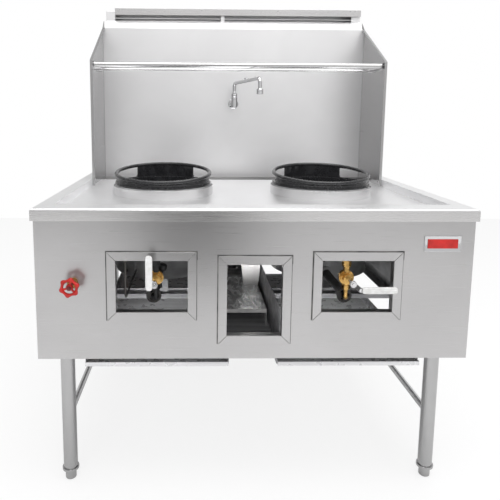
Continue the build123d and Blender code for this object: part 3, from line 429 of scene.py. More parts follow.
def merged_copy(node):
    """The CAD node's mesh with its loose triangles joined; the node itself stays as it is."""
    mesh = bmesh.new()
    mesh.from_mesh(cad_nodes[node].data)
    bmesh.ops.remove_doubles(mesh, verts=mesh.verts, dist=JOIN)
    return mesh


def eased_node(node, edge=SHEET_EDGE, extra=(), facing=None):
    """The CAD node's own shape with joined faces, slightly rounded edges and added details.

    facing is a (direction, material) pair: the faces that look that way get the material.
    """
    mesh = merged_copy(node)
    bmesh.ops.dissolve_limit(
        mesh, angle_limit=FLAT_WITHIN, verts=mesh.verts, edges=mesh.edges
    )
    for detail in extra:
        added_to(mesh, detail)
    if facing is not None:
        for face in mesh.faces:
            face.material_index = int(face.normal.dot(Vector(facing[0])) > FACES_THAT_WAY)
    piece = finish_piece(
        node + "_skin", mesh, finish_of(node), body_of[node], edge
    )
    if facing is not None:
        piece.data.materials.append(facing[1])
    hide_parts(node)
    return piece


def modelled_node(node, mesh, edge=0.0, segments=2):
    """A modelled mesh that stands for a CAD node."""
    piece = finish_piece(
        node + "_shape", mesh, finish_of(node), body_of[node], edge, segments
    )
    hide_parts(node)
    return piece


def finish_of(node):
    return finish_of_node.get(node, finish_of_slot[slot_of[node]])


def added_to(mesh, part):
    data = bpy.data.meshes.new("part")
    part.to_mesh(data)
    part.free()
    mesh.from_mesh(data)
    bpy.data.meshes.remove(data)
    return mesh


def stood_along(axis):
    """Turns +Z to the given axis."""
    return Vector((0, 0, 1)).rotation_difference(Vector(axis)).to_matrix().to_4x4()


def placed(mesh, centre, axis=(0, 0, 1)):
    bmesh.ops.transform(
        mesh, matrix=Matrix.Translation(centre) @ stood_along(axis), verts=mesh.verts
    )
    return mesh


def turned(profile, centre, axis=(0, 0, 1), steps=48):
    """A turned solid: (radius, height) points spun about an axis through the centre."""
    mesh = bmesh.new()
    points = [mesh.verts.new((radius, 0, height)) for radius, height in profile]
    for first, second in zip(points, points[1:]):
        mesh.edges.new((first, second))
    bmesh.ops.spin(
        mesh, geom=mesh.verts[:] + mesh.edges[:], cent=(0, 0, 0), axis=(0, 0, 1),
        dvec=(0, 0, 0), angle=math.tau, steps=steps, use_merge=True,
    )
    bmesh.ops.remove_doubles(mesh, verts=mesh.verts, dist=JOIN)
    bmesh.ops.recalc_face_normals(mesh, faces=mesh.faces)
    return placed(mesh, centre, axis)


def prism(flats, radius, length, centre, axis=(0, 0, 1), turn=0.0, tip=None):
    """A bar with flats round an axis; tip is the radius of its far end, if it tapers."""
    mesh = bmesh.new()
    bmesh.ops.create_cone(
        mesh, cap_ends=True, segments=flats, radius1=radius,
        radius2=radius if tip is None else tip, depth=length,
    )
    bmesh.ops.rotate(mesh, matrix=Matrix.Rotation(turn, 3, "Z"), verts=mesh.verts)
    return placed(mesh, centre, axis)


def brick(low, high):
    mesh = bmesh.new()
    bmesh.ops.create_cube(mesh, size=1.0)
    low, high = Vector(low), Vector(high)
    bmesh.ops.scale(mesh, vec=high - low, verts=mesh.verts)
    bmesh.ops.translate(mesh, vec=(low + high) / 2, verts=mesh.verts)
    return mesh


def rod(first, last, radius, flats=20, tip=None):
    first, last = Vector(first), Vector(last)
    return prism(
        flats, radius, (last - first).length, (first + last) / 2, last - first, tip=tip
    )


# ---------------------------------------------------------------- window trims
TRIM_WIDTH = 24 * MM
TRIM_PLATE = 3.0 * MM
MITRE_GAP = 0.5 * MM
TRIM_EDGE = 0.7 * MM
LINING = 1.5 * MM
# The trim stands off the panel on a dark strip; where the strip shows past the trim it is a painted
# shadow line, wide at top and left, narrower at right.
SHADOW_STRIP = 0.9 * MM
SHADOW_STRIP_SHOWS = 3.4 * MM
panel_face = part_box("front_panel")[0][1]


def mitred_strip(low_x, high_x, low_z, high_z, side):
    """One strip of the trim, cut to a mitre at both ends."""
    front = panel_face - TRIM_PLATE - SHADOW_STRIP
    back = panel_face - SHADOW_STRIP
    mid_x, mid_z = (low_x + high_x) / 2, (low_z + high_z) / 2
    long_x, long_z = (high_x - low_x) / 2, (high_z - low_z) / 2
    reach = long_x if side[0] == 0 else long_z
    off = long_z if side[0] == 0 else long_x
    mesh = bmesh.new()
    bmesh.ops.create_cube(mesh, size=2.0)
    for vert in mesh.verts:
        outer = vert.co.z > 0
        along = reach - MITRE_GAP if outer else reach - TRIM_WIDTH - MITRE_GAP
        away = off if outer else off - TRIM_WIDTH
        run = vert.co.x * along
        y = back if vert.co.y > 0 else front
        if side[0] == 0:
            vert.co = (mid_x + run, y, mid_z + side[1] * away)
        else:
            vert.co = (mid_x + side[0] * away, y, mid_z + run)
    bmesh.ops.recalc_face_normals(mesh, faces=mesh.faces)
    return mesh


def window_trim(node):
    """Four mitred strips round the opening, the lining that goes through the panel, and a dark
    strip under the trim whose edges are a painted shadow line.
    """
    (x0, _, z0), (x1, deep, z1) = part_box(node)
    mesh = bmesh.new()
    for side in ((0, 1), (0, -1), (1, 0), (-1, 0)):
        added_to(mesh, mitred_strip(x0, x1, z0, z1, side))
    face = panel_face - SHADOW_STRIP
    in_x0, in_x1 = x0 + TRIM_WIDTH, x1 - TRIM_WIDTH
    in_z0, in_z1 = z0 + TRIM_WIDTH, z1 - TRIM_WIDTH
    for low, high in (
        ((in_x0 - LINING, face, in_z0 - LINING), (in_x1 + LINING, deep, in_z0)),
        ((in_x0 - LINING, face, in_z1), (in_x1 + LINING, deep, in_z1 + LINING)),
        ((in_x0 - LINING, face, in_z0), (in_x0, deep, in_z1)),
        ((in_x1, face, in_z0), (in_x1 + LINING, deep, in_z1)),
    ):
        added_to(mesh, brick(low, high))
    modelled_node(node, mesh, TRIM_EDGE)
    # The dark strip under the trim: painted shadow, showing past the trim at top, left and,
    # narrower, right, not at the bottom.
    shadow_line_mesh = bmesh.new()
    rim = TRIM_WIDTH - 2 * MM
    for low, high in (
        ((x0 - SHADOW_STRIP_SHOWS, z1 - rim), (x1 + SHADOW_STRIP_SHOWS, z1 + SHADOW_STRIP_SHOWS)),
        ((x0 - SHADOW_STRIP_SHOWS, z0), (x0 + rim, z1 - rim)),
        ((x1 - rim, z0), (x1 + SHADOW_STRIP_SHOWS * 0.6, z1 - rim)),
        ((x0 + rim, z0), (x1 - rim, z0 + rim)),
    ):
        added_to(shadow_line_mesh, brick((low[0], face, low[1]), (high[0], panel_face, high[1])))
    finish_piece(
        node.replace("window_frame", "window_shadow_line"), shadow_line_mesh, painted_shadow_line,
        body_of[node],
    )


for side in ("left", "centre", "right"):
    window_trim("window_frame_" + side)


# ---------------------------------------------------------------- name plate
BEZEL_RIM = 8.5 * MM
BEZEL_WELL = 1.2 * MM
BEZEL_EDGE = 1.1 * MM


def name_plate():
    """A raised bezel round a plain enamelled field."""
    low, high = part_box("name_plate")
    mesh = brick(low, high)
    face = min(mesh.faces, key=lambda each: each.calc_center_median().y)
    bmesh.ops.inset_individual(mesh, faces=[face], thickness=BEZEL_RIM, use_even_offset=True)
    bmesh.ops.translate(mesh, vec=(0, BEZEL_WELL, 0), verts=face.verts)
    modelled_node("name_plate", mesh, BEZEL_EDGE, 3)
    (x0, _, z0), (x1, _, z1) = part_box("name_plate_field")
    front = low[1]
    field = brick((x0, front - 0.3 * MM, z0), (x1, front + BEZEL_WELL, z1))
    modelled_node("name_plate_field", field, 0.8 * MM, 3)


name_plate()


# ---------------------------------------------------------------- water handwheel
WHEEL_LOBES = 6
WHEEL_START = math.radians(18)
WHEEL_RADIUS = 28.5 * MM
WHEEL_RING = 19.6 * MM
WHEEL_SECTION = 3.7 * MM
WHEEL_HUB = 9.5 * MM
WHEEL_SINK = 2.5 * MM
SPOKES = 3
SPOKE_HALF = 3.4 * MM


def lobed_ring():
    """A cast ring whose outside swells into six round lobes."""
    mesh = bmesh.new()
    bmesh.ops.create_circle(mesh, segments=20, radius=WHEEL_SECTION)
    bmesh.ops.rotate(mesh, matrix=Matrix.Rotation(math.pi / 2, 3, "X"), verts=mesh.verts)
    bmesh.ops.translate(mesh, vec=(WHEEL_RING, 0, 0), verts=mesh.verts)
    bmesh.ops.spin(
        mesh, geom=mesh.verts[:] + mesh.edges[:], cent=(0, 0, 0), axis=(0, 0, 1),
        dvec=(0, 0, 0), angle=math.tau, steps=120, use_merge=True,
    )
    bmesh.ops.remove_doubles(mesh, verts=mesh.verts, dist=JOIN)
    swell = (WHEEL_RADIUS - WHEEL_RING) / WHEEL_SECTION - 1
    for vert in mesh.verts:
        turn = math.atan2(vert.co.y, vert.co.x)
        lobe = (0.5 + 0.5 * math.cos(WHEEL_LOBES * (turn - WHEEL_START))) ** 1.3
        radius = math.hypot(vert.co.x, vert.co.y)
        out = radius - WHEEL_RING
        if out > 0:
            out *= 1 + swell * lobe
        factor = (WHEEL_RING + out) / radius
        vert.co.x *= factor
        vert.co.y *= factor
        vert.co.z *= 1.25 + 0.3 * lobe
    bmesh.ops.recalc_face_normals(mesh, faces=mesh.faces)
    return mesh


def handwheel():
    """The cast wheel with its hub and spokes, and the nut and stem of the spindle."""
    low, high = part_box("handwheel")
    centre = (low + high) / 2
    wheel = lobed_ring()
    hub = [
        (0, 5.5), (6.0, 5.5), (7.4, 4.9), (8.2, 3.4), (9.4, 1.5), (9.8, -3.0), (8.6, -6.4),
        (7.0, -7.0), (0, -7.0),
    ]
    hub_mesh = turned([(r * MM, h * MM - WHEEL_SINK) for r, h in hub], (0, 0, 0))
    added_to(wheel, hub_mesh)
    for count in range(SPOKES):
        turn = WHEEL_START + math.radians(60) + count * math.tau / SPOKES
        arm = rod(
            (WHEEL_HUB * 0.7, 0, -WHEEL_SINK), (WHEEL_RING, 0, 0), SPOKE_HALF * 0.8, 16,
            SPOKE_HALF,
        )
        bmesh.ops.rotate(arm, matrix=Matrix.Rotation(turn, 3, "Z"), verts=arm.verts)
        added_to(wheel, arm)
    # the wheel was built facing +Z: stood up, it faces the front
    stand = Matrix.Translation(centre) @ Matrix.Rotation(math.pi / 2, 4, "X")
    bmesh.ops.transform(wheel, matrix=stand, verts=wheel.verts)
    modelled_node("handwheel", wheel)

    spindle_low, spindle_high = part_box("spindle")
    nut = [(0, 0), (3.0, 0.2), (4.9, 1.6), (5.6, 3.6), (6.0, 5.0), (6.0, 7.5), (0, 7.5)]
    tip = (centre[0], spindle_low[1], centre[2])
    dome = turned([(r * MM, h * MM) for r, h in nut], tip, (0, 1, 0), 32)
    stem = rod(
        (centre[0], spindle_low[1] + 6 * MM, centre[2]),
        (centre[0], spindle_high[1], centre[2]), 4.0 * MM, 32,
    )
    modelled_node("spindle", added_to(dome, stem))


handwheel()


# ---------------------------------------------------------------- gas levers and sleeves
VALVE_MIDDLE = 21 * MM
BAR_WIDTH = 12 * MM
BAR_THICK = 4 * MM
STEM_BALL = 9 * MM
NUT_FACE = 7 * MM
LINK_END = 7.4 * MM
SLEEVE_FLATS = 48
SLEEVE_GROOVE = 0.16


def ribbed_sleeve(length, width, thick):
    """A dipped sleeve along Z: oval, with two grooves on each face and rounded ends."""
    mesh = bmesh.new()
    bmesh.ops.create_cone(
        mesh, cap_ends=True, segments=SLEEVE_FLATS, radius1=1.0, radius2=1.0, depth=length
    )
    end_round = width * 0.48
    for share in (0.02, 0.07, 0.15, 0.27, 0.45, 0.7, 1.0):
        for end in (-1, 1):
            cut = end * (length / 2 - end_round * share)
            bmesh.ops.bisect_plane(
                mesh, geom=mesh.verts[:] + mesh.edges[:] + mesh.faces[:],
                plane_co=(0, 0, cut), plane_no=(0, 0, 1),
            )
    for vert in mesh.verts:
        turn = math.atan2(vert.co.y, vert.co.x)
        across = math.copysign(abs(math.cos(turn)) ** 0.75, math.cos(turn))
        over = math.copysign(abs(math.sin(turn)) ** 0.6, math.sin(turn))
        groove = 1 - SLEEVE_GROOVE * max(0.0, math.cos(across * 3.0 * math.pi - math.pi)) * (
            1 if abs(across) < 0.8 else 0
        )
        depth_in = max(0.0, abs(vert.co.z) - (length / 2 - end_round)) / end_round
        shrink = math.sqrt(max(0.0, 1 - min(1.0, depth_in) ** 2))
        shrink = 0.35 + 0.65 * shrink
        vert.co.x = across * width / 2 * shrink
        vert.co.y = over * thick / 2 * groove * (0.5 + 0.5 * shrink)
    bmesh.ops.recalc_face_normals(mesh, faces=mesh.faces)
    return mesh


def lever(side):
    """Stem nut, cranked flat link and the straight bar that the sleeve covers."""
    upright = side == "left"
    bar_low, bar_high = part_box("lever_" + side)
    grip_low, grip_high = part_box("lever_grip_" + side)
    grip_mid = (grip_low + grip_high) / 2
    pivot_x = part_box("gas_valve_" + side)[0][0] + VALVE_MIDDLE
    pivot_z = bar_low[2] + STEM_BALL if upright else bar_high[2] - STEM_BALL
    front = bar_low[1]
    nut_face = front + NUT_FACE
    knuckle = [
        (0, 0), (4.6, 0), (5.0, 0.4), (5.0, 2.2), (7.6, 2.2), (9.0, 3.2), (9.0, 7.6), (7.8, 8.8),
        (8.6, 9.8), (8.6, 13.5), (6.4, 14.5), (4.5, 15.5), (4.5, 40.0), (0, 40.0),
    ]
    mesh = turned(
        [(r * MM, h * MM) for r, h in knuckle], (pivot_x, front, pivot_z), (0, 1, 0)
    )
    grip_front = grip_mid[1]
    start = Vector((pivot_x, nut_face + 2 * MM, pivot_z))
    if upright:
        near = Vector((grip_mid[0], grip_front, pivot_z + 16 * MM))
        far = Vector((grip_mid[0], grip_front, bar_high[2]))
    else:
        near = Vector((grip_low[0] - 2 * MM, grip_front, grip_mid[2]))
        far = Vector((bar_high[0], grip_front, grip_mid[2]))
    added_to(mesh, flat_link(start, near))
    added_to(mesh, flat_link(near, far))
    added_to(mesh, prism(24, BAR_WIDTH / 2, BAR_THICK, near, (0, 1, 0)))
    added_to(mesh, prism(24, LINK_END, BAR_THICK, start, (0, 1, 0)))
    modelled_node("lever_" + side, mesh, 0.8 * MM)

    length = (grip_high[2] - grip_low[2]) if upright else (grip_high[0] - grip_low[0])
    width = (grip_high[0] - grip_low[0]) if upright else (grip_high[2] - grip_low[2])
    thick = grip_high[1] - grip_low[1]
    sleeve = ribbed_sleeve(length, width, thick)
    if not upright:
        bmesh.ops.rotate(
            sleeve, matrix=Matrix.Rotation(math.pi / 2, 3, "Y"), verts=sleeve.verts
        )
    bmesh.ops.translate(sleeve, vec=grip_mid, verts=sleeve.verts)
    modelled_node("lever_grip_" + side, sleeve)


def flat_link(first, last):
    """A flat bar between two points, its flat side to the front."""
    along = (last - first).normalized()
    mesh = bmesh.new()
    bmesh.ops.create_cube(mesh, size=1.0)
    bmesh.ops.scale(
        mesh, vec=(BAR_WIDTH, BAR_THICK, (last - first).length), verts=mesh.verts
    )
    flat = Vector((0, -1, 0))
    side_way = along.cross(flat).normalized()
    flat = side_way.cross(along).normalized()
    turn = Matrix((side_way, -flat, along)).transposed().to_4x4()
    if turn.determinant() < 0:
        turn = Matrix((-side_way, -flat, along)).transposed().to_4x4()
    bmesh.ops.transform(
        mesh, matrix=Matrix.Translation((first + last) / 2) @ turn, verts=mesh.verts
    )
    return mesh


for side in ("left", "right"):
    lever(side)


# ---------------------------------------------------------------- brass valves
VALVE_DEPTH = 22 * MM
VALVE_BODY_BELOW_TOP = 50 * MM
BRASS_ABOVE = 17 * MM
BRASS_BELOW = 20 * MM
ELBOW_CAP = (-258.5 * MM, -426.5 * MM, 655.5 * MM)
ELBOW_BEND = (-264 * MM, -426.5 * MM, 640 * MM)
ELBOW_FOOT = (-279 * MM, -430 * MM, 595 * MM)
ELBOW_TUBE = 7.2 * MM
ELBOW_EDGE = 0.6 * MM


def gas_valve(side):
    """The cast body with its hexagons: a nipple above, a union below, a bonnet nut.

    On the left valve the iron fittings above and below the brass body are black.
    """
    low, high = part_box("gas_valve_" + side)
    x = low[0] + VALVE_MIDDLE
    y = low[1] + VALVE_DEPTH
    body_z = high[2] - VALVE_BODY_BELOW_TOP
    details = [
        prism(6, 13.5 * MM, 13 * MM, (x, y, high[2] - 7 * MM), turn=math.radians(10)),
        turned(
            [(0, 0), (12.4 * MM, 0), (12.8 * MM, 1.4 * MM), (12.4 * MM, 2.8 * MM), (0, 2.8 * MM)],
            (x, y, high[2] - 17 * MM),
        ),
        prism(6, 11.5 * MM, 12 * MM, (x, y, high[2] - 78 * MM), turn=math.radians(20)),
        prism(6, 14.6 * MM, 7 * MM, (x, low[1] + 4 * MM, body_z), (0, 1, 0), 0.3),
    ]
    piece = eased_node("gas_valve_" + side, 0.9 * MM, details)
    if side == "left":
        piece.data.materials.append(black_pipe)
        for face in piece.data.polygons:
            offset = face.center.z - body_z
            face.material_index = int(offset > BRASS_ABOVE or offset < -BRASS_BELOW)


def mixer_elbow():
    """The black gas elbow behind the left valve: a round cap and the tube down to the bell."""
    cap = Vector(ELBOW_CAP)
    bend = Vector(ELBOW_BEND)
    foot = Vector(ELBOW_FOOT)
    round_cap = [
        (0, -10), (9, -9), (12.5, -6), (13.5, -1), (13.5, 4), (12, 8), (8, 10), (0, 10.5),
    ]
    mesh = turned([(r * MM, h * MM) for r, h in round_cap], cap, bend - cap, 36)
    added_to(mesh, rod(cap, bend, ELBOW_TUBE + 1.3 * MM, 32, ELBOW_TUBE))
    added_to(mesh, rod(bend, foot, ELBOW_TUBE, 32, ELBOW_TUBE - 0.6 * MM))
    bmesh.ops.create_icosphere(
        mesh, subdivisions=3, radius=ELBOW_TUBE + 0.4 * MM, matrix=Matrix.Translation(bend)
    )
    finish_piece(
        "mixer_elbow", mesh, black_pipe, body_of["burner_left"], ELBOW_EDGE
    )


for side in ("left", "right"):
    gas_valve(side)
mixer_elbow()


# ---------------------------------------------------------------- faucet
MOUTH_ABOVE_PIN = 18.5 * MM


def faucet():
    """Body with its wall flange, and the swing spout with its nut and aerator rings."""
    low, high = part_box("faucet_body")
    x = (low[0] + high[0]) / 2
    wall = high[1]
    stand_y = low[1] + 13.5 * MM
    body = [
        (0, 0), (11.2, 0), (12.6, 0.8), (13.4, 2.2), (13.5, 4.0), (13.5, 31.0), (12.9, 31.6),
        (12.9, 33.0), (13.5, 33.6), (13.5, 42.0), (12.2, 44.5), (11.4, 46.0), (0, 46.0),
    ]
    mesh = turned([(r * MM, h * MM) for r, h in body], (x, stand_y, low[2] + 6.5 * MM))
    flange = [
        (0, 0), (21.5, 0), (21.5, 0.9), (20.6, 2.2), (17.5, 3.7), (13.6, 4.8), (12.4, 5.2),
        (11.6, 6.4), (11.2, 8.0), (11.2, 46.0), (0, 46.0),
    ]
    centre_z = low[2] + 21.5 * MM
    added_to(mesh, turned([(r * MM, h * MM) for r, h in flange], (x, wall, centre_z), (0, -1, 0)))
    modelled_node("faucet_body", mesh)

    spout_low, spout_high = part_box("faucet_spout")
    foot = high[2]
    collar = [
        (0, 0), (11.4, 0), (12.6, 1.0), (12.6, 8.6), (11.6, 9.8), (9.6, 10.6), (9.0, 13.0),
        (8.6, 18.0), (7.6, 19.5), (0, 19.5),
    ]
    tip_x = spout_high[0] - 12 * MM
    tip_y = spout_low[1] + 12 * MM
    mouth = spout_low[2] + MOUTH_ABOVE_PIN
    ring_low = [(11.9, 1.2), (12.4, 1.6), (12.4, 4.4), (11.9, 4.8), (11.9, 1.2)]
    ring_high = [(11.9, 13.0), (12.5, 13.6), (12.5, 17.4), (9.4, 20.4), (7.4, 20.6), (7.4, 13.0),
                 (11.9, 13.0)]
    details = [
        turned([(r * MM, h * MM) for r, h in collar], (x, stand_y, foot), steps=40),
        turned([(r * MM, h * MM) for r, h in ring_low], (tip_x, tip_y, mouth), steps=40),
        turned([(r * MM, h * MM) for r, h in ring_high], (tip_x, tip_y, mouth), steps=40),
    ]
    eased_node("faucet_spout", 0.5 * MM, details)


faucet()


# ---------------------------------------------------------------- filmed centre shelf
FILM_HALF = 65.5 * MM
FILM_LIFT = 2.4 * MM
FILM_CLEAR = 0.3 * MM
FILM_CELLS = (72, 120)


def shelf_film():
    """A crinkled protective film that still lies on the centre shelf."""
    low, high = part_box("centre_shelf")
    x0, x1 = -FILM_HALF, FILM_HALF
    y0, y1 = low[1] + 1 * MM, high[1] - 2 * MM
    mesh = bmesh.new()
    bmesh.ops.create_grid(mesh, x_segments=FILM_CELLS[0], y_segments=FILM_CELLS[1], size=0.5)
    for vert in mesh.verts:
        x = x0 + (vert.co.x + 0.5) * (x1 - x0)
        y = y0 + (vert.co.y + 0.5) * (y1 - y0)
        spot = Vector((x * 18 + y * 5, y * 7, 3.0))
        fold = noise.turbulence(spot, 3, False, amplitude_scale=0.5, frequency_scale=2.1)
        ridge = 0.35 - abs(noise.noise(Vector((x * 44 + y * 16, y * 11, 7.0))))
        edge = min((vert.co.x + 0.5), (0.5 - vert.co.x), (vert.co.y + 0.5), (0.5 - vert.co.y))
        lift = min(1.0, edge * 9)
        height = FILM_LIFT * lift * (abs(fold) + max(0.0, ridge))
        vert.co = (x, y, SHELF_TOP + FILM_CLEAR + height)
    return finish_piece("shelf_film", mesh, film, body_of["centre_shelf"])


shelf_film()


# ---------------------------------------------------------------- fixings
def dome_head(radius, centre, axis):
    rise = radius * 0.45
    profile = [(0, rise), (radius * 0.45, rise * 0.9), (radius * 0.8, rise * 0.55), (radius, 0)]
    return turned([*profile, (radius, -0.4 * MM), (0, -0.4 * MM)], centre, axis, 20)


RIVET_HEAD = 2.6 * MM
RIVET_RISE = 21 * MM
RIVET_SHARES = (0.02, 0.35, 0.66, 0.955, 0.975)


def cap_rivets():
    """Rivet heads along the front of the vent cap."""
    low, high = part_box("vent_cap")
    mesh = bmesh.new()
    for share in RIVET_SHARES:
        x = low[0] + share * (high[0] - low[0])
        seat = (x, low[1] - 0.05 * MM, low[2] + RIVET_RISE)
        added_to(mesh, dome_head(RIVET_HEAD, seat, (0, -1, 0)))
    finish_piece("cap_rivets", mesh, tube_upright_shaded, body_of["vent_cap"])


cap_rivets()

already_modelled = {
    "name_plate", "name_plate_field", "handwheel", "spindle", "faucet_body", "faucet_spout",
}
for side in ("left", "right"):
    already_modelled |= {"lever_" + side, "lever_grip_" + side, "gas_valve_" + side}
for side in ("left", "centre", "right"):
    already_modelled.add("window_frame_" + side)
facing_of_node = {
    # The deck's front faces take the lip sheet, darker than the deck's top: painted shade.
    "deck_pan": ((0, -1, 0), sheet_lip),
    "side_panel_left": ((1, 0, 0), dark_steel),
    "side_panel_right": ((-1, 0, 0), dark_steel),
}
edge_of_node = {
    "wok_ring_left": 1.2 * MM,
    "wok_ring_right": 1.2 * MM,
    "burner_left": 1.0 * MM,
    "burner_right": 1.0 * MM,
}
for node in cad_nodes:
    if node not in already_modelled:
        eased_node(
            node, edge_of_node.get(node, SHEET_EDGE), facing=facing_of_node.get(node)
        )


for node, thing in cad_nodes.items():
    thing.data.materials.clear()
    thing.data.materials.append(finish_of(node))


# ---------------------------------------------------------------- studio
WORLD_GREY = 0.8
WORLD_LOW = 0.9
WORLD_HIGH = 1.02
WORLD_LEFT = 0.79
WORLD_FLANK = 0.88
FLOOR_REACH = 3.4
FLOOR_PAPER = 0.8
FLOOR_SHADE = 0.20
FLOOR_GLOW = 0.78
CARD_AT = (-0.16, -2.35, 0.8)
CARD_SIZE = (0.66, 1.0, 1.6)
CARD_LOW = 0.02
CARD_HIGH = 0.85
CARD_FADES = (0.5, 1.3)
LAMP_SPREAD = {
    "lamp_chute": math.radians(35),
    "lamp_tray_left": math.radians(60),
    "lamp_tray_right": math.radians(60),
}
# name, place, aim, size of the lamp in metres, power in watts
LAMPS = (
    ("lamp_tray_left", (-0.29, -0.44, 0.48), (-0.29, -0.12, 0.39), (0.30, 0.03), 0.35),
    ("lamp_tray_right", (0.29, -0.44, 0.48), (0.29, -0.12, 0.39), (0.30, 0.03), 0.35),
    ("lamp_chute", (0.03, -0.45, 0.655), (0.03, 0.05, 0.60), (0.08, 0.03), 0.22),
    ("lamp_front", (0.2, -5.2, 2.2), (0.0, 0.0, 0.9), (5.4, 2.6), 130.0),
    ("lamp_above", (0.2, -0.5, 3.2), (0.0, 0.1, 0.8), (2.8, 2.0), 60.0),
    ("lamp_key", (-2.4, -4.4, 0.55), (-0.1, 0.0, 0.7), (0.7, 0.7), 30.0),
)


def staged_sheet(name, size, turn, place, material):
    """A flat grid that belongs to the studio, not to the object."""
    mesh = bmesh.new()
    bmesh.ops.create_grid(mesh, x_segments=2, y_segments=2, size=1.0)
    bmesh.ops.rotate(mesh, matrix=Matrix.Rotation(turn, 3, "X"), verts=mesh.verts)
    bmesh.ops.scale(mesh, vec=size, verts=mesh.verts)
    bmesh.ops.translate(mesh, vec=place, verts=mesh.verts)
    data = bpy.data.meshes.new(name)
    mesh.to_mesh(data)
    mesh.free()
    data.materials.append(material)
    sheet = bpy.data.objects.new(name, data)
    bpy.context.scene.collection.objects.link(sheet)
    return sheet


def empty_tree(owner):
    owner.use_nodes = True
    owner.node_tree.nodes.clear()
    return owner.node_tree


def product(tree, first, second):
    node = tree.nodes.new("ShaderNodeMath")
    node.operation = "MULTIPLY"
    tree.links.new(first, node.inputs[0])
    tree.links.new(second, node.inputs[1])
    return node.outputs["Value"]


def background(tree, grey):
    node = tree.nodes.new("ShaderNodeBackground")
    node.inputs["Color"].default_value = (grey, grey, grey, 1)
    return node


def for_the_camera(tree, seen, otherwise, output_kind):
    """The camera sees one shader, every other ray meets the other."""
    output = tree.nodes.new(output_kind)
    rays = tree.nodes.new("ShaderNodeLightPath")
    choose = tree.nodes.new("ShaderNodeMixShader")
    tree.links.new(rays.outputs["Is Camera Ray"], choose.inputs["Fac"])
    tree.links.new(otherwise, choose.inputs[1])
    tree.links.new(seen, choose.inputs[2])
    tree.links.new(choose.outputs["Shader"], output.inputs["Surface"])


def paper_floor():
    """A wide pale floor: the camera sees it near white, with the soft shadow kept."""
    material = bpy.data.materials.new("floor_paper")
    tree = empty_tree(material)
    paper = tree.nodes.new("ShaderNodeBsdfDiffuse")
    paper.inputs["Color"].default_value = (FLOOR_PAPER, FLOOR_PAPER, FLOOR_PAPER, 1)
    shade = tree.nodes.new("ShaderNodeBsdfDiffuse")
    shade.inputs["Color"].default_value = (FLOOR_SHADE, FLOOR_SHADE, FLOOR_SHADE, 1)
    glow = tree.nodes.new("ShaderNodeEmission")
    glow.inputs["Color"].default_value = (1, 1, 1, 1)
    glow.inputs["Strength"].default_value = FLOOR_GLOW
    seen = tree.nodes.new("ShaderNodeAddShader")
    tree.links.new(shade.outputs["BSDF"], seen.inputs[0])
    tree.links.new(glow.outputs["Emission"], seen.inputs[1])
    for_the_camera(
        tree, seen.outputs["Shader"], paper.outputs["BSDF"], "ShaderNodeOutputMaterial"
    )
    staged_sheet("floor", (FLOOR_REACH, FLOOR_REACH, 1), 0.0, (0, 0, 0), material)


def white_surround():
    """White behind the object; for reflections a little darker low, at the left and aside."""
    world = bpy.data.worlds.new("surround")
    bpy.context.scene.world = world
    tree = empty_tree(world)
    direction = tree.nodes.new("ShaderNodeTexCoord")
    split = tree.nodes.new("ShaderNodeSeparateXYZ")
    tree.links.new(direction.outputs["Generated"], split.inputs["Vector"])
    height = spread(tree, split.outputs["Z"], WORLD_LOW, WORLD_HIGH, -0.25, 0.05)
    aside = tree.nodes.new("ShaderNodeMath")
    aside.operation = "ABSOLUTE"
    tree.links.new(split.outputs["X"], aside.inputs[0])
    flank = spread(tree, aside.outputs["Value"], 1.0, WORLD_FLANK, 0.55, 0.85)
    toward_left = spread(tree, split.outputs["X"], WORLD_LEFT, 1.0, -0.14, 0.06)
    level = product(tree, product(tree, height, flank), toward_left)
    soft = background(tree, WORLD_GREY)
    tree.links.new(level, soft.inputs["Strength"])
    white = background(tree, 1.0)
    for_the_camera(
        tree, white.outputs["Background"], soft.outputs["Background"], "ShaderNodeOutputWorld"
    )


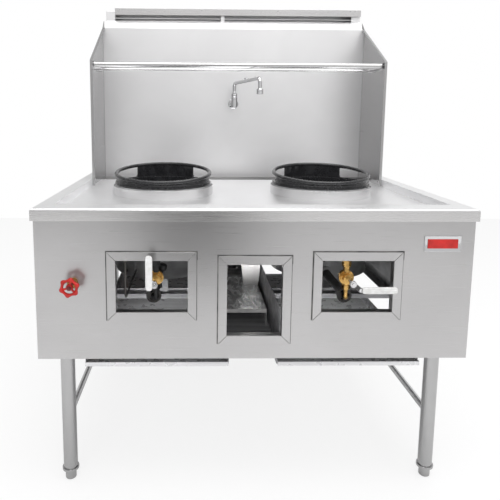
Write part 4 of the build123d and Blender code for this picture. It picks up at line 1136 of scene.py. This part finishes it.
def studio_card():
    """A grey card in front, seen only in reflections, that shades the top of the panel."""
    material = bpy.data.materials.new("card_grey")
    tree = empty_tree(material)
    output = tree.nodes.new("ShaderNodeOutputMaterial")
    glow = tree.nodes.new("ShaderNodeEmission")
    place = tree.nodes.new("ShaderNodeTexCoord")
    split = tree.nodes.new("ShaderNodeSeparateXYZ")
    tree.links.new(place.outputs["Object"], split.inputs["Vector"])
    level = spread(tree, split.outputs["Z"], CARD_LOW, CARD_HIGH, *CARD_FADES)
    tree.links.new(level, glow.inputs["Strength"])
    tree.links.new(glow.outputs["Emission"], output.inputs["Surface"])
    width, thick, tall = CARD_SIZE
    card = staged_sheet(
        "studio_card", (width / 2, thick / 2, tall / 2), math.pi / 2, CARD_AT, material
    )
    card.visible_camera = False
    card.visible_diffuse = False
    card.visible_shadow = False
    card.visible_transmission = False


def studio_lamps():
    """Soft lamps round the object and three small ones that fill the windows."""
    for name, at, aim, size, power in LAMPS:
        light = bpy.data.lights.new(name, "AREA")
        light.shape = "RECTANGLE"
        light.size, light.size_y = size
        light.energy = power
        light.spread = LAMP_SPREAD.get(name, math.pi)
        lamp = bpy.data.objects.new(name, light)
        bpy.context.scene.collection.objects.link(lamp)
        lamp.location = at
        lamp.visible_camera = False
        lamp.visible_glossy = name == "lamp_above"
        toward = Vector(aim) - Vector(at)
        lamp.rotation_euler = toward.to_track_quat("-Z", "Y").to_euler()


def photograph_camera():
    """The fitted camera; its shift puts the optical axis where the photograph has it."""
    camera_data = bpy.data.cameras.new("camera")
    camera_data.sensor_fit = "HORIZONTAL"
    camera_data.sensor_width = 36.0
    camera_data.lens = camera_data.sensor_width * FOCAL_PIXELS / IMAGE
    camera_data.shift_x = (IMAGE / 2 - AXIS_PIXEL[0]) / IMAGE
    camera_data.shift_y = (AXIS_PIXEL[1] - IMAGE / 2) / IMAGE
    camera_data.clip_end = 60.0
    camera = bpy.data.objects.new("camera", camera_data)
    bpy.context.scene.collection.objects.link(camera)
    camera.matrix_world = (
        Matrix.Translation(CAMERA_AT)
        @ Matrix.Rotation(math.radians(-LOOKS_RIGHT), 4, "Z")
        @ Matrix.Rotation(math.radians(90 - LOOKS_DOWN), 4, "X")
        @ Matrix.Rotation(math.radians(ROLL), 4, "Z")
    )
    bpy.context.scene.camera = camera


paper_floor()
white_surround()
studio_card()
studio_lamps()
photograph_camera()
bpy.context.scene.view_settings.view_transform = "Standard"
